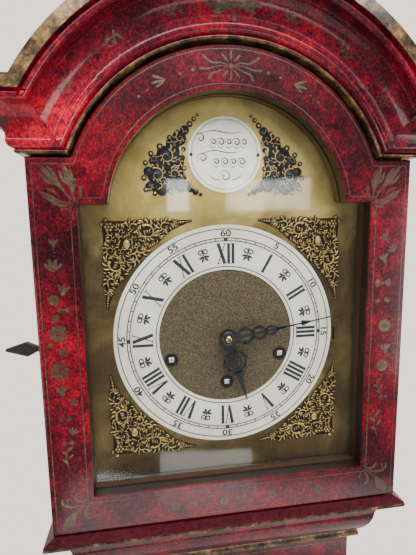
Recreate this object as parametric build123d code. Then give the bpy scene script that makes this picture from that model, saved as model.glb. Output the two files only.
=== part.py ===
from build123d import *
import os
from math import asin, atan2, cos, hypot, pi, radians, sin, sqrt

# A weight-driven longcase clock in a lacquered break-arch case.
# Millimetres. +X is the clock's right as seen from the front, +Y runs to the back, +Z is up.
# The origin is on the floor, under the middle of the clock's width and depth.

# ---------------------------------------------------------------- driving dimensions
HEIGHT = 1900.0            # floor to the top of the arched cornice
DEPTH = 254.0              # front of the cornice to the back of the backboard
BACK = DEPTH / 2

HOOD_HALF = 177.0          # half the width of the hood and of the base
TRUNK_HALF = 143.5         # half the width of the trunk
BOARD = 15.0               # thickness of the case sides
BACKBOARD_T = 8.0

CORNICE_OUT = 42.0         # how far the cornice stands out from the hood
CORNICE_H = 49.0           # height of the cornice moulding
CORNICE_R = 151.0          # radius of the cornice's lower edge in the arch
ARCH_RISE = 121.0          # arch centre above the dial centre

DIAL_Z = HEIGHT - CORNICE_H - CORNICE_R - ARCH_RISE
FRONT = -BACK + CORNICE_OUT            # front face of the hood door and of the base
DIAL_Y = FRONT + 32.0                  # front face of the chapter ring
ARCH_Z = DIAL_Z + ARCH_RISE
SHOULDER_Z = DIAL_Z + 175.5            # lower edge of the cornice beside the arch

DOOR_T = 20.0
DOOR_BACK = FRONT + DOOR_T
DOOR_BOTTOM = DIAL_Z - 178.0
DOOR_SHOULDER = DIAL_Z + 174.1
DOOR_R = 149.6
SIGHT_HALF = 137.0         # half the width of the glazed opening
SIGHT_BOTTOM = DIAL_Z - 141.5
SIGHT_SHOULDER = DIAL_Z + 134.5
SIGHT_R = 112.0

MASK_T = 8.0
MASK_FRONT = DOOR_BACK + 0.5
MASK_BACK = MASK_FRONT + MASK_T

HOOD_BASE_TOP = DOOR_BOTTOM - 1.6
HOOD_BASE_BOTTOM = HOOD_BASE_TOP - 8.5
THROAT_TOP = HOOD_BASE_BOTTOM - 0.5
THROAT_H = 61.0
TRUNK_FRONT = FRONT + (HOOD_HALF - TRUNK_HALF)
TRUNK_BACK = BACK - BACKBOARD_T

WAIST_BOTTOM = 470.0       # top of the base
WAIST_H = 60.0
PLINTH_OUT = 12.0
PLINTH_H = 85.0

SEAT_T = 18.0
SEAT_TOP = DIAL_Z - 82.0
SEAT_BOTTOM = SEAT_TOP - SEAT_T

# Dial
RING_R = 115.0
RING_HOLE = 69.8
RING_T = 1.2
PLATE_FRONT = DIAL_Y + RING_T
PLATE_T = 1.5
PLATE_BACK = PLATE_FRONT + PLATE_T
BOSS_Z = DIAL_Z + 182.5
BOSS_R = 36.5

# Movement
FP_FRONT = PLATE_BACK + 24.3           # front plate
FP_T = 2.5
FP_BACK = FP_FRONT + FP_T
BP_FRONT = FP_BACK + 58.0              # back plate
BP_BACK = BP_FRONT + FP_T
ARBOR_R = 2.0
WIND_R = 4.0
RUN = 0.05                             # radial running clearance
WIND = {"strike": (-57.8, -22.2), "time": (0.0, -49.7), "chime": (57.8, -22.2)}
DRUM_R = 19.2
FLANGE_R = 26.0
DRUM_Y0 = FP_BACK + 9.5
DRUM_Y1 = DRUM_Y0 + 36.0
CABLE_R = 0.8
CABLE_Y = (DRUM_Y0 + DRUM_Y1) / 2
CABLE_OFF = DRUM_R + CABLE_R           # from a drum's or a pulley's centre to its cable

# Going train: teeth, module (mm) and arbor places from the dial centre
GREAT = (96, 0.9558)
CENTRE_PINION = (8, 0.9558)
CENTRE_WHEEL = (72, 0.8)
THIRD_PINION = (8, 0.8)
THIRD_WHEEL = (66, 0.7)
ESCAPE_PINION = (9, 0.7)
THIRD_AT = (-24.0, 21.166)
ESCAPE_AT = (0.0, 31.798)
ESCAPE_TEETH = 30
ESCAPE_R = 16.0
PALLET_CLEAR = 0.9         # the pallets swing 0.7 mm either way and never touch the tooth tips
PALLET_DZ = ESCAPE_AT[1] + ESCAPE_R * sqrt(2)
CANNON = (12, 0.75)
MINUTE_WHEEL = (36, 0.75)
MINUTE_PINION = (10, 0.72)
HOUR_WHEEL = (40, 0.72)
MINUTE_AT = (-12.728, -12.728)

# Hands, at the time they show at rest
MINUTE_ANGLE = 80.6
HOUR_ANGLE = 163.7
MINUTE_LEN = 111.3
HOUR_LEN = 70.6
HOUR_HAND_Y = DIAL_Y - 8.0
MINUTE_HAND_Y = DIAL_Y - 12.4
HAND_T = 1.0

# Pendulum and weights
PENDULUM_Y = BP_BACK + 13.0
PENDULUM_Z = DIAL_Z + PALLET_DZ
PENDULUM_L = 820.0
BOB_R = 60.0
WEIGHT_R = 27.5
WEIGHT_L = 230.0
WEIGHT_BOTTOM = 480.0
PULLEY_Z = WEIGHT_BOTTOM + WEIGHT_L + 38.0
PULLEY_R = DRUM_R

# Hinges and locks
HOOD_HINGE = (HOOD_HALF - 5.0, FRONT + 5.0)
TRUNK_DOOR_HALF = 98.0
TRUNK_DOOR_BOTTOM = 585.0
TRUNK_DOOR_SHOULDER = 1216.0
TRUNK_DOOR_ARCH_Z = 1200.0
TRUNK_DOOR_R = 78.0
TRUNK_LIP = 8.0            # how far the lipped door stands in front of the trunk
TRUNK_LAP = 9.0            # how far its lip laps the frame
TRUNK_HINGE = (TRUNK_DOOR_HALF + 2.5, TRUNK_FRONT - TRUNK_LIP - 1.0)
KEY_Y = MASK_BACK + 13.0
KEY_Z = DIAL_Z - 4.0
BOLT_X = -HOOD_HALF + BOARD + 5.0

made = {}


# ---------------------------------------------------------------- helpers
def block(x0, x1, y0, y1, z0, z1):
    """A box between two corners."""
    return Pos((x0 + x1) / 2, (y0 + y1) / 2, (z0 + z1) / 2) * Box(x1 - x0, y1 - y0, z1 - z0)


def rod_x(y, z, r, x0, x1):
    return Pos((x0 + x1) / 2, y, z) * Rot(0, 90, 0) * Cylinder(r, x1 - x0)


def rod_y(x, z, r, y0, y1):
    return Pos(x, (y0 + y1) / 2, z) * Rot(90, 0, 0) * Cylinder(r, y1 - y0)


def rod_z(x, y, r, z0, z1):
    return Pos(x, y, (z0 + z1) / 2) * Cylinder(r, z1 - z0)


def tube_y(x, z, r, hole, y0, y1):
    return rod_y(x, z, r, y0, y1) - rod_y(x, z, hole, y0 - 1, y1 + 1)


def slab(points, y0, y1):
    """A straight-sided outline in X and Z, from y0 to y1."""
    outline = Polyline(*[(x, y0, z) for x, z in points], close=True)
    return extrude(make_face(outline.edges()), amount=y1 - y0, dir=(0, 1, 0))


def break_arch(half, z0, z1, r, y0, y1, arch_z=ARCH_Z):
    """A board with square shoulders at z1 and a round arch of radius r above them."""
    foot = sqrt(r * r - (z1 - arch_z) ** 2)
    corners = [(-foot, z1), (-half, z1), (-half, z0), (half, z0), (half, z1), (foot, z1)]
    sides = Polyline(*[(x, y0, z) for x, z in corners])
    arch = ThreePointArc((foot, y0, z1), (0, y0, arch_z + r), (-foot, y0, z1))
    return extrude(make_face(sides.edges() + arch.edges()), amount=y1 - y0, dir=(0, 1, 0))


def profile(start, steps, place):
    """Edges through 2-D steps: a pair is a line's end, and two pairs are an arc's middle and end."""
    edges, here = [], start
    for step in steps:
        if isinstance(step[0], tuple):
            edges += ThreePointArc(place(*here), place(*step[0]), place(*step[1])).edges()
            here = step[1]
        else:
            edges += Line(place(*here), place(*step)).edges()
            here = step
    return edges


def u_moulding(start, steps, half, front, z0, inner_half, inner_front, back=TRUNK_BACK):
    """A mitred moulding round the front and both sides. Its section is (out, up) from (half, front, z0)."""
    end = steps[-1] if not isinstance(steps[-1][0], tuple) else steps[-1][1]
    reach = half + 80
    across = profile(start, steps, lambda out, up: (-reach, front - out, z0 + up))
    across += Polyline((-reach, front - end[0], z0 + end[1]), (-reach, back, z0 + end[1]),
                       (-reach, back, z0 + start[1]), (-reach, front - start[0], z0 + start[1])).edges()
    front_run = extrude(make_face(across), amount=2 * reach, dir=(1, 0, 0))
    y0 = front - 80
    along = profile(start, steps, lambda out, up: (half + out, y0, z0 + up))
    along += Polyline((half + end[0], y0, z0 + end[1]), (0, y0, z0 + end[1]),
                      (0, y0, z0 + start[1]), (half + start[0], y0, z0 + start[1])).edges()
    right = extrude(make_face(along), amount=back - y0, dir=(0, 1, 0))
    body = front_run & (right + mirror(right, Plane.YZ))
    low, high = min(start[1], end[1]), max(start[1], end[1])
    return body - block(-inner_half, inner_half, inner_front, BACK + 50, z0 + low - 60, z0 + high + 60)


def gear(teeth, module, at, y0, y1, phase, share=0.42, addendum=0.75, dedendum=1.3, bore=0.0, holes=0):
    """A toothed disc on an arbor at (x, z) from the dial centre. One tooth points at phase, in radians."""
    pitch = 2 * pi / teeth
    r = teeth * module / 2
    flank = ((-0.60, r - dedendum * module), (-0.50, r), (-0.20, r + addendum * module),
             (0.20, r + addendum * module), (0.50, r), (0.60, r - dedendum * module))
    x, z = at[0], DIAL_Z + at[1]
    outline = []
    for i in range(teeth):
        for across, radius in flank:
            a = phase + (i + across * share) * pitch
            outline.append((x + radius * cos(a), z + radius * sin(a)))
    disc = slab(outline, y0, y1)
    ring = 0.58 * r
    for i in range(holes):
        a = phase + 2 * pi * i / holes
        disc -= rod_y(x + ring * cos(a), z + ring * sin(a), 0.19 * r, y0 - 1, y1 + 1)
    if bore:
        disc -= rod_y(x, z, bore, y0 - 1, y1 + 1)
    return disc


def mesh_phase(driver_phase, driver_teeth, driven_teeth, at, other):
    """The phase that puts the driven gear's tooth space on the driver's tooth along the line of centres."""
    line = atan2(other[1] - at[1], other[0] - at[0])
    off = (line - driver_phase) * driver_teeth / (2 * pi)
    return line + pi + (off - 0.5) * 2 * pi / driven_teeth


def keep(name, *solids):
    """Stores a node. Its pieces stay separate solids."""
    pieces = []
    for shape in solids:
        pieces += shape.solids()
    made[name] = pieces[0] if len(pieces) == 1 else Compound(pieces)


def mirrored(solid):
    return [solid, mirror(solid, Plane.YZ)]


# ---------------------------------------------------------------- case: base, trunk and backboard
def case():
    inner = HOOD_HALF - BOARD
    base_z = 40.0
    floor_z = 72.0
    front = block(-HOOD_HALF, HOOD_HALF, FRONT, FRONT + BOARD, base_z, WAIST_BOTTOM)
    side = block(inner, HOOD_HALF, FRONT + BOARD, TRUNK_BACK, base_z, WAIST_BOTTOM)
    floor = block(-inner, inner, FRONT + BOARD, TRUNK_BACK, floor_z, floor_z + 12)
    keep("base_carcass", front, *mirrored(side), floor)

    panel = block(-118, 118, FRONT - 6, FRONT, 140, 420)
    panel = chamfer(panel.faces().sort_by(Axis.Y)[0].edges(), 4.5)
    keep("base_panel", panel)

    step = 5.0
    bevel = [(PLINTH_OUT, PLINTH_H - 16), ((PLINTH_OUT - 2.5, PLINTH_H - 6), (0.8, PLINTH_H)),
             (0.0, PLINTH_H)]
    skirt = u_moulding((PLINTH_OUT, 0), bevel, HOOD_HALF, FRONT, 0, HOOD_HALF, FRONT)
    foot, rise = 62.0, 34.0
    reach = HOOD_HALF + PLINTH_OUT
    for half, axis in ((reach - foot, "x"), (None, "y")):
        if axis == "x":
            cut = block(-half, half, FRONT - 30, FRONT + step, -1, rise)
            scallop = [rod_y(s * half, 0, rise, FRONT - 30, FRONT + step) for s in (-1, 1)]
            skirt = skirt - (cut + scallop[0] + scallop[1])
        else:
            y0, y1 = FRONT + foot, TRUNK_BACK - foot + 10
            cut = block(-reach - 5, reach + 5, y0, y1, -1, rise)
            skirt = skirt - (cut + rod_x(y0, 0, rise * 0.7, -reach - 5, reach + 5))
            skirt = skirt - rod_x(y1, 0, rise * 0.7, -reach - 5, reach + 5)
    keep("plinth", skirt)

    inset = HOOD_HALF - TRUNK_HALF
    waist = [(6, 2), (6, 9), ((4.5, 14), (1, 16)), (-2, 16), (-2, 18), ((-9, 37), (-26, 50)),
             (-26, 52), ((-22.5, 56), (-26, WAIST_H)), (-inset + 0.01, WAIST_H)]
    keep("waist_moulding",
         u_moulding((4, 0), waist, HOOD_HALF, FRONT, WAIST_BOTTOM, TRUNK_HALF, TRUNK_FRONT))

    throat = [(-2, -2), ((-9.2, -11.2), (-13.2, -21.5)), ((-17.0, -37.0), (-25.5, -49.5)), (-26.5, -50),
              ((-24.6, -54.2), (-26.5, -58.5)), (-28, -59), (-inset + 0.01, -THROAT_H)]
    keep("throat_moulding",
         u_moulding((-2, 0), throat, HOOD_HALF, FRONT, THROAT_TOP, TRUNK_HALF, TRUNK_FRONT))

    opening = TRUNK_DOOR_HALF - TRUNK_LAP
    bottom = TRUNK_DOOR_BOTTOM + TRUNK_LAP
    shoulder = TRUNK_DOOR_SHOULDER - TRUNK_LAP
    radius = TRUNK_DOOR_R - TRUNK_LAP
    back = TRUNK_FRONT + BOARD
    stile = block(opening, TRUNK_HALF - BOARD, TRUNK_FRONT, back, WAIST_BOTTOM, THROAT_TOP)
    sill = block(-opening, opening, TRUNK_FRONT, back, WAIST_BOTTOM, bottom)
    head = block(-opening, opening, TRUNK_FRONT, back, shoulder, THROAT_TOP)
    head -= rod_y(0, TRUNK_DOOR_ARCH_Z, radius, TRUNK_FRONT - 1, back + 1)
    side = block(TRUNK_HALF - BOARD, TRUNK_HALF, TRUNK_FRONT, TRUNK_BACK, WAIST_BOTTOM, THROAT_TOP)
    side += block(TRUNK_HALF - BOARD, TRUNK_HALF, PLATE_BACK + 6, TRUNK_BACK, THROAT_TOP, SEAT_BOTTOM)
    keep("trunk_carcass", *mirrored(stile), sill, head, *mirrored(side))

    hood_part = break_arch(HOOD_HALF - BOARD - 2, HOOD_BASE_TOP + 2, DIAL_Z + 208, 181, TRUNK_BACK, BACK)
    trunk_part = block(-TRUNK_HALF, TRUNK_HALF, TRUNK_BACK, BACK, WAIST_BOTTOM, HOOD_BASE_TOP + 2)
    base_part = block(-HOOD_HALF, HOOD_HALF, TRUNK_BACK, BACK, base_z, WAIST_BOTTOM)
    board = hood_part + trunk_part + base_part
    board -= rod_y(0, WALL_SCREW_Z, WALL_SCREW_R, TRUNK_BACK - 1, BACK + 1)
    keep("backboard", board)


WALL_SCREW_Z = DIAL_Z + 130.0
WALL_SCREW_R = 2.75


# ---------------------------------------------------------------- hood
def cornice_steps():
    """Section of the cornice as (out, up): gilt bead, ovolo, deep cove, bead and gilt fillet."""
    return [(3.5, 0), ((5.6, 1.7), (4.4, 3.6)), ((9.1, 5.8), (9.7, 11.4)), ((16.2, 26.3), (33.0, 33.8)),
            ((38.5, 35.8), (37.0, 39.3)), (CORNICE_OUT, 39.3), (CORNICE_OUT, CORNICE_H)]


def cornice():
    top = SHOULDER_Z + CORNICE_H
    out = FRONT - CORNICE_OUT
    reach = HOOD_HALF + 60

    # The straight moulding of one shoulder, cut to its return at the side.
    across = profile((0, 0), cornice_steps(), lambda p, h: (90, FRONT - p, SHOULDER_Z + h))
    across += Polyline((90, out, top), (90, MASK_FRONT, top), (90, MASK_FRONT, SHOULDER_Z),
                       (90, FRONT, SHOULDER_Z)).edges()
    straight = extrude(make_face(across), amount=reach - 90, dir=(1, 0, 0))
    side_steps = profile((0, 0), cornice_steps(), lambda p, h: (HOOD_HALF + p, out - 1, SHOULDER_Z + h))
    side_steps += Polyline((HOOD_HALF + CORNICE_OUT, out - 1, top), (0, out - 1, top),
                           (0, out - 1, SHOULDER_Z), (HOOD_HALF, out - 1, SHOULDER_Z)).edges()
    limit = extrude(make_face(side_steps), amount=BACK - out + 1, dir=(0, 1, 0))
    shoulder = straight & limit

    # The same section turned round the arch, mitred against the shoulders and 0.01 mm behind them.
    cut = cornice_steps()[:-1] + [(CORNICE_OUT + 2, 39.3)]
    round_cut = profile((0, 0), cut, lambda p, h: (0, FRONT - p + 0.01, ARCH_Z + CORNICE_R + h))
    round_cut += Polyline((0, out - 1.99, ARCH_Z + CORNICE_R + 39.3), (0, out - 1.99, ARCH_Z),
                          (0, MASK_FRONT + 1, ARCH_Z), (0, MASK_FRONT + 1, ARCH_Z + CORNICE_R),
                          (0, FRONT + 0.01, ARCH_Z + CORNICE_R)).edges()
    under_arch = revolve(make_face(round_cut), Axis((0, 0, ARCH_Z), (0, 1, 0)), 360)
    shoulder = shoulder - under_arch
    arch = rod_y(0, ARCH_Z, CORNICE_R + CORNICE_H, out, MASK_FRONT)
    arch = (arch & block(-reach, reach, out - 1, MASK_FRONT, top, top + 300)) - under_arch
    front = arch + shoulder + mirror(shoulder, Plane.YZ)

    returns = limit & block(HOOD_HALF, reach, MASK_FRONT, BACK, SHOULDER_Z, top)
    keep("hood_cornice", front, *mirrored(returns))


def hood():
    cornice()
    inner = HOOD_HALF - BOARD
    wall_top = SHOULDER_Z + CORNICE_H - 7
    side = block(inner, HOOD_HALF, MASK_BACK, BACK, HOOD_BASE_TOP, wall_top)
    left = mirror(side, Plane.YZ) - rod_x(KEY_Y, KEY_Z, 3.2, -HOOD_HALF - 1, -inner + 1)
    keep("hood_sides", side, left)

    mask = break_arch(HOOD_HALF, HOOD_BASE_TOP, wall_top, 192, MASK_FRONT, MASK_BACK)
    window = break_arch(SIGHT_HALF + 2, SIGHT_BOTTOM - 2, SIGHT_SHOULDER + 2, SIGHT_R + 2,
                        MASK_FRONT - 1, MASK_BACK + 1)
    slot = block(BOLT_X - 2.2, BOLT_X + 2.2, MASK_FRONT - 1, MASK_BACK + 1, KEY_Z - 5.2, KEY_Z + 5.2)
    mask = mask - window - slot
    keep("hood_mask", mask)

    # The roof is a bent board over the arch, with a flat board over each shoulder.
    roof_r, roof_t = 192.0, 6.0
    roof = rod_y(0, ARCH_Z, roof_r, MASK_BACK, BACK)
    roof = roof - rod_y(0, ARCH_Z, roof_r - roof_t, MASK_BACK - 1, BACK + 1)
    roof = roof & block(-200, 200, MASK_BACK, BACK, wall_top, HEIGHT)
    foot = sqrt(roof_r ** 2 - (wall_top - ARCH_Z) ** 2)
    shelf = block(foot, HOOD_HALF, MASK_BACK, BACK, wall_top, wall_top + 7)
    shelf = shelf - rod_y(0, ARCH_Z, roof_r, MASK_BACK - 1, BACK + 1)
    keep("hood_roof", roof, *mirrored(shelf))

    out = 7.5
    section = [((out * 0.35, -1.2), (out, -3.5)), (out + 0.6, -6.0), (out, -8.5)]
    keep("hood_base",
         u_moulding((0, 0), section, HOOD_HALF, FRONT, HOOD_BASE_TOP, 150, TRUNK_FRONT - 6.5, BACK))


def hood_door():
    frame = break_arch(HOOD_HALF, DOOR_BOTTOM, DOOR_SHOULDER, DOOR_R, FRONT, DOOR_BACK)
    frame = fillet(frame.faces().sort_by(Axis.Y)[0].edges(), 2.0)
    sight = break_arch(SIGHT_HALF, SIGHT_BOTTOM, SIGHT_SHOULDER, SIGHT_R, FRONT - 1, DOOR_BACK + 1)
    frame = frame - sight
    # A rebate from the back takes the glass and its beads.
    rebate = 6.0
    glass_front = FRONT + 11.0
    glass_t = 3.0
    pocket = break_arch(SIGHT_HALF + rebate, SIGHT_BOTTOM - rebate, SIGHT_SHOULDER + rebate,
                        SIGHT_R + rebate, glass_front, DOOR_BACK + 1)
    strike = block(BOLT_X - 2.2, BOLT_X + 2.2, DOOR_BACK - 8, DOOR_BACK + 1, KEY_Z - 5.2, KEY_Z + 5.2)
    frame = frame - pocket - strike
    x, y = HOOD_HINGE
    for edge, up in ((DOOR_SHOULDER, 1), (DOOR_BOTTOM, -1)):
        frame -= block(x - 30, x + 3.5, y - 3.5, y + 5, edge - 1.2, edge + 1.2)
        frame -= rod_z(x, y, 1.5 + RUN, edge - 13, edge + 13)
    back_edge = frame.edges().filter_by(Axis.Z).filter_by(lambda e: abs(e.center().X - HOOD_HALF) < 0.1)
    frame = chamfer(back_edge.sort_by(Axis.Y)[-1], 3.0)
    keep("hood_door_frame", frame)

    gap = 0.5
    glass = break_arch(SIGHT_HALF + rebate - gap, SIGHT_BOTTOM - rebate + gap, SIGHT_SHOULDER + rebate - gap,
                       SIGHT_R + rebate - gap, glass_front, glass_front + glass_t)
    keep("hood_door_glass", glass)

    bead = break_arch(SIGHT_HALF + rebate, SIGHT_BOTTOM - rebate, SIGHT_SHOULDER + rebate, SIGHT_R + rebate,
                      glass_front + glass_t, DOOR_BACK - 0.5)
    bead -= break_arch(SIGHT_HALF, SIGHT_BOTTOM, SIGHT_SHOULDER, SIGHT_R, glass_front, DOOR_BACK + 1)
    keep("hood_glazing_beads", bead)


def hinge_pair(fixed_name, moving_name, at, heights, fixed_leaf, moving_leaf):
    """Butt hinges: each has two fixed knuckles with a pin through them and one moving knuckle between."""
    x, y = at
    knuckle, pin = 2.4, 1.2
    fixed, moving = [], []
    for z in heights:
        half, gap = 18.0, 0.3
        middle = 6.0
        post = rod_z(x, y, pin, z - half, z + half)
        ends = [rod_z(x, y, knuckle, z - half, z - middle), rod_z(x, y, knuckle, z + middle, z + half)]
        leaf = fixed_leaf(z, half)
        for end in ends:
            post = post + end
        clear = rod_z(x, y, knuckle + 0.4, z - middle, z + middle)
        fixed.append(post + (leaf - clear))
        barrel = rod_z(x, y, knuckle, z - middle + gap, z + middle - gap)
        leaf = moving_leaf(z, middle - gap)
        moving.append((barrel + leaf) - rod_z(x, y, pin + RUN, z - half, z + half))
    keep(fixed_name, *fixed)
    keep(moving_name, *moving)


def hinges():
    # The hood door turns on pivots: a strap at the top and one at the bottom, each with a pin.
    x, y = HOOD_HINGE
    straps, sockets = [], []
    for edge, fixed in ((DOOR_SHOULDER, SHOULDER_Z), (DOOR_BOTTOM, HOOD_BASE_TOP)):
        up = 1 if fixed > edge else -1
        face = edge + up * 0.4
        strap = block(x - 4, x + 4, y - 3, MASK_FRONT - 2, min(face, fixed), max(face, fixed))
        straps.append(strap + rod_z(x, y, 1.5, min(edge - up * 12, face), max(edge - up * 12, face)))
        other = edge - up * 1.2
        plate = block(x - 30, x + 3.5, y - 3.5, y + 5, min(edge, other), max(edge, other))
        sockets.append(plate - rod_z(x, y, 1.5 + RUN, edge - 20, edge + 20))
    keep("hood_hinge_leaves", *straps)
    keep("hood_door_hinge_leaves", *sockets)

    x2, y2 = TRUNK_HINGE

    def trunk_fixed(z, half):
        return block(x2, x2 + 18, TRUNK_FRONT - 1.2, TRUNK_FRONT, z - half, z + half) + \
            block(x2 - 0.6, x2 + 2.4, y2, TRUNK_FRONT, z - half, z + half)

    def trunk_moving(z, half):
        face = TRUNK_FRONT - TRUNK_LIP
        strap = block(TRUNK_DOOR_HALF - 16, x2, face - 2.4, face - 1.2, z - half, z + half)
        return strap + block(TRUNK_DOOR_HALF - 16, TRUNK_DOOR_HALF - 6, face - 2.4, face, z - half, z + half)

    levels = (TRUNK_DOOR_BOTTOM + 90, TRUNK_DOOR_SHOULDER - 70)
    hinge_pair("trunk_hinge_leaves", "trunk_door_hinge_leaves", TRUNK_HINGE, levels,
               trunk_fixed, trunk_moving)


def hood_lock():
    """A side lock: its bolt shoots forward through the mask into the back of the door."""
    inner = -HOOD_HALF + BOARD
    body = block(inner, inner + 10, MASK_BACK + 0.5, KEY_Y + 16, KEY_Z - 14, KEY_Z + 14)
    slide = block(BOLT_X - 2, BOLT_X + 2, MASK_BACK - 5, KEY_Y - 4, KEY_Z - 5, KEY_Z + 5)
    room = block(BOLT_X - 2.3, BOLT_X + 2.3, MASK_BACK - 10, KEY_Y + 10, KEY_Z - 5.3, KEY_Z + 5.3)
    body = body - room - rod_x(KEY_Y, KEY_Z, 3.2, inner - 1, inner + 8)
    ring = rod_x(KEY_Y, KEY_Z, 7.5, -HOOD_HALF - 1.2, -HOOD_HALF)
    ring = ring - rod_x(KEY_Y, KEY_Z, 3.2, -HOOD_HALF - 3, -HOOD_HALF + 1)
    keep("hood_lock", body, ring)
    keep("hood_lock_bolt", slide)

    shank = rod_x(KEY_Y, KEY_Z, 2.5, -HOOD_HALF - 12, BOLT_X - 1.4)
    tip = -(HOOD_HALF + CORNICE_OUT)
    neck = -HOOD_HALF - 12
    wide = neck - 10
    thick = 2.6
    leaf = [(neck, KEY_Z + 2.6), (wide, KEY_Z + 7.5), (tip, KEY_Z + 1.2), (tip, KEY_Z - 1.2),
            (wide, KEY_Z - 7.5), (neck, KEY_Z - 2.6)]
    bow = chamfer(slab(leaf, KEY_Y - thick, KEY_Y + thick).edges().group_by(Axis.Y)[0], 1.0)
    bow = chamfer(bow.edges().group_by(Axis.Y)[-1], 1.0)
    keep("hood_key", shank + bow)


# ---------------------------------------------------------------- trunk door
def trunk_door():
    face = TRUNK_FRONT - TRUNK_LIP
    lip = break_arch(TRUNK_DOOR_HALF, TRUNK_DOOR_BOTTOM, TRUNK_DOOR_SHOULDER, TRUNK_DOOR_R, face,
                     TRUNK_FRONT - 0.3, TRUNK_DOOR_ARCH_Z)
    lip = fillet(lip.faces().sort_by(Axis.Y)[0].edges(), 5.0)
    fit = TRUNK_LAP + 1.5
    core = break_arch(TRUNK_DOOR_HALF - fit, TRUNK_DOOR_BOTTOM + fit, TRUNK_DOOR_SHOULDER - fit,
                      TRUNK_DOOR_R - fit, TRUNK_FRONT - 0.3, TRUNK_FRONT + BOARD - 2, TRUNK_DOOR_ARCH_Z)
    door = lip + core
    lock_x, lock_z = -TRUNK_DOOR_HALF + 16, TRUNK_LOCK_Z
    back = TRUNK_FRONT + BOARD - 2
    door -= rod_y(lock_x, lock_z, 2.6, face - 1, back + 1)
    keep("trunk_door", door)

    plate = rod_y(lock_x, lock_z, 8, face - 1.2, face) - rod_y(lock_x, lock_z, 2.6, face - 2, face + 1)
    case_box = block(lock_x - 4, lock_x + 30, back, back + 9, lock_z - 16, lock_z + 16)
    case_box -= block(lock_x - 5, lock_x + 20, back + 2.2, back + 6.8, lock_z - 5.3, lock_z + 5.3)
    case_box -= rod_y(lock_x, lock_z, 2.6, back - 1, back + 4)
    keep("trunk_lock", plate, case_box)
    keep("trunk_lock_bolt", block(lock_x - 1, lock_x + 18, back + 2.5, back + 6.5, lock_z - 5, lock_z + 5))


TRUNK_LOCK_Z = 930.0


# ---------------------------------------------------------------- dial
def spandrel_corner():
    """A corner mount: the square corner less the round of the chapter ring, with drawn-out tips."""
    far, reach, thick = 120.5, 86.0, 3.0
    outline = [(far, far), (far - reach, far), (far - reach, far - 4),
               (far - 4, far - reach), (far, far - reach)]
    body = slab(outline, 0, thick)
    body = Pos(0, PLATE_FRONT - thick, DIAL_Z) * body
    return body - rod_y(0, DIAL_Z, RING_R + 2.5, PLATE_FRONT - 5, PLATE_FRONT + 5)


def spandrel_arch():
    """An arch mount: a dolphin-like shape between the boss and the dial's arch."""
    thick = 3.0
    rel = [(27, -36), (62, -39), (86, -31), (83, -14), (70, 2), (58, 16), (40, 27), (26, 41),
           (22, 41), (30, 27), (38, 8)]
    body = Pos(0, PLATE_FRONT - thick, BOSS_Z) * slab(rel, 0, thick)
    return body - rod_y(0, BOSS_Z, BOSS_R + 1.0, PLATE_FRONT - 5, PLATE_FRONT + 5)


def dial():
    plate = break_arch(SIGHT_HALF + 5, SIGHT_BOTTOM - 4.5, SIGHT_SHOULDER + 5, SIGHT_R + 6,
                       PLATE_FRONT, PLATE_BACK)
    plate -= rod_y(0, DIAL_Z, 6, PLATE_FRONT - 1, PLATE_BACK + 1)
    for x, dz in WIND.values():
        plate -= rod_y(x, DIAL_Z + dz, 6.0, PLATE_FRONT - 1, PLATE_BACK + 1)
    plate -= block(LEVER_X - 1.4, LEVER_X + 1.4, PLATE_FRONT - 1, PLATE_BACK + 1,
                   DIAL_Z + LEVER_TOP - LEVER_TRAVEL - 1.6, DIAL_Z + LEVER_TOP + 1.6)
    for x in (-88, 88):
        for dz in (-64, 64):
            plate += rod_y(x, DIAL_Z + dz, 3.0, PLATE_BACK - 0.2, FP_FRONT)
    keep("dial_plate", plate)
    keep("chapter_ring", tube_y(0, DIAL_Z, RING_R, RING_HOLE, DIAL_Y, PLATE_FRONT))

    boss = rod_y(0, BOSS_Z, BOSS_R, PLATE_FRONT - 1.6, PLATE_FRONT)
    boss = chamfer(boss.edges().group_by(Axis.Y)[0], 0.6)
    keep("dial_boss", boss)

    corner = spandrel_corner()
    lower = mirror(corner, Plane(origin=(0, 0, DIAL_Z), z_dir=(0, 0, 1)))
    keep("dial_spandrels", *mirrored(corner), *mirrored(lower), *mirrored(spandrel_arch()))

    collets = []
    for x, dz in WIND.values():
        z = DIAL_Z + dz
        flange = tube_y(x, z, 7.0, 4.4, PLATE_FRONT - 1.0, PLATE_FRONT)
        collets.append(flange + tube_y(x, z, 5.9, 4.4, PLATE_FRONT - 0.5, PLATE_BACK + 1.5))
    keep("winding_collets", *collets)

    # The lever's pin stands out of the slot beside the three, from a plate that slides behind the dial.
    tip_z = DIAL_Z + LEVER_TOP
    slider = block(LEVER_X - 7, LEVER_X + 7, PLATE_BACK + 0.2, PLATE_BACK + 1.8, tip_z - 9, tip_z + 5)
    slider = slider + rod_y(LEVER_X, tip_z, 1.2, PLATE_FRONT - 4.5, PLATE_BACK + 1)
    keep("chime_silent_lever", slider + rod_y(LEVER_X, tip_z, 1.8, PLATE_FRONT - 5.4, PLATE_FRONT - 3.4))


LEVER_X = 118.7
LEVER_TOP = 11.2
LEVER_TRAVEL = 21.0


def hand(length, angle, y0, hub_r, hole, waist_at, waist):
    """A pierced serpentine hand with a round hub, pointing at angle, clockwise from twelve."""
    body = rod_y(0, DIAL_Z, hub_r, y0, y0 + HAND_T)
    blade = [(-2.2, hub_r - 1), (-waist, waist_at * 0.55), (-1.6, waist_at), (-0.5, length), (0.5, length),
             (1.6, waist_at), (waist, waist_at * 0.55), (2.2, hub_r - 1)]
    body += slab([(x, DIAL_Z + z) for x, z in blade], y0, y0 + HAND_T)
    for share, r in ((0.42, 0.22), (0.66, 0.20)):
        body -= rod_y(0, DIAL_Z + waist_at * share, waist * r * 2, y0 - 1, y0 + 2)
    body -= rod_y(0, DIAL_Z, hole, y0 - 1, y0 + 2)
    return body.rotate(Axis((0, 0, DIAL_Z), (0, 1, 0)), angle)


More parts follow.
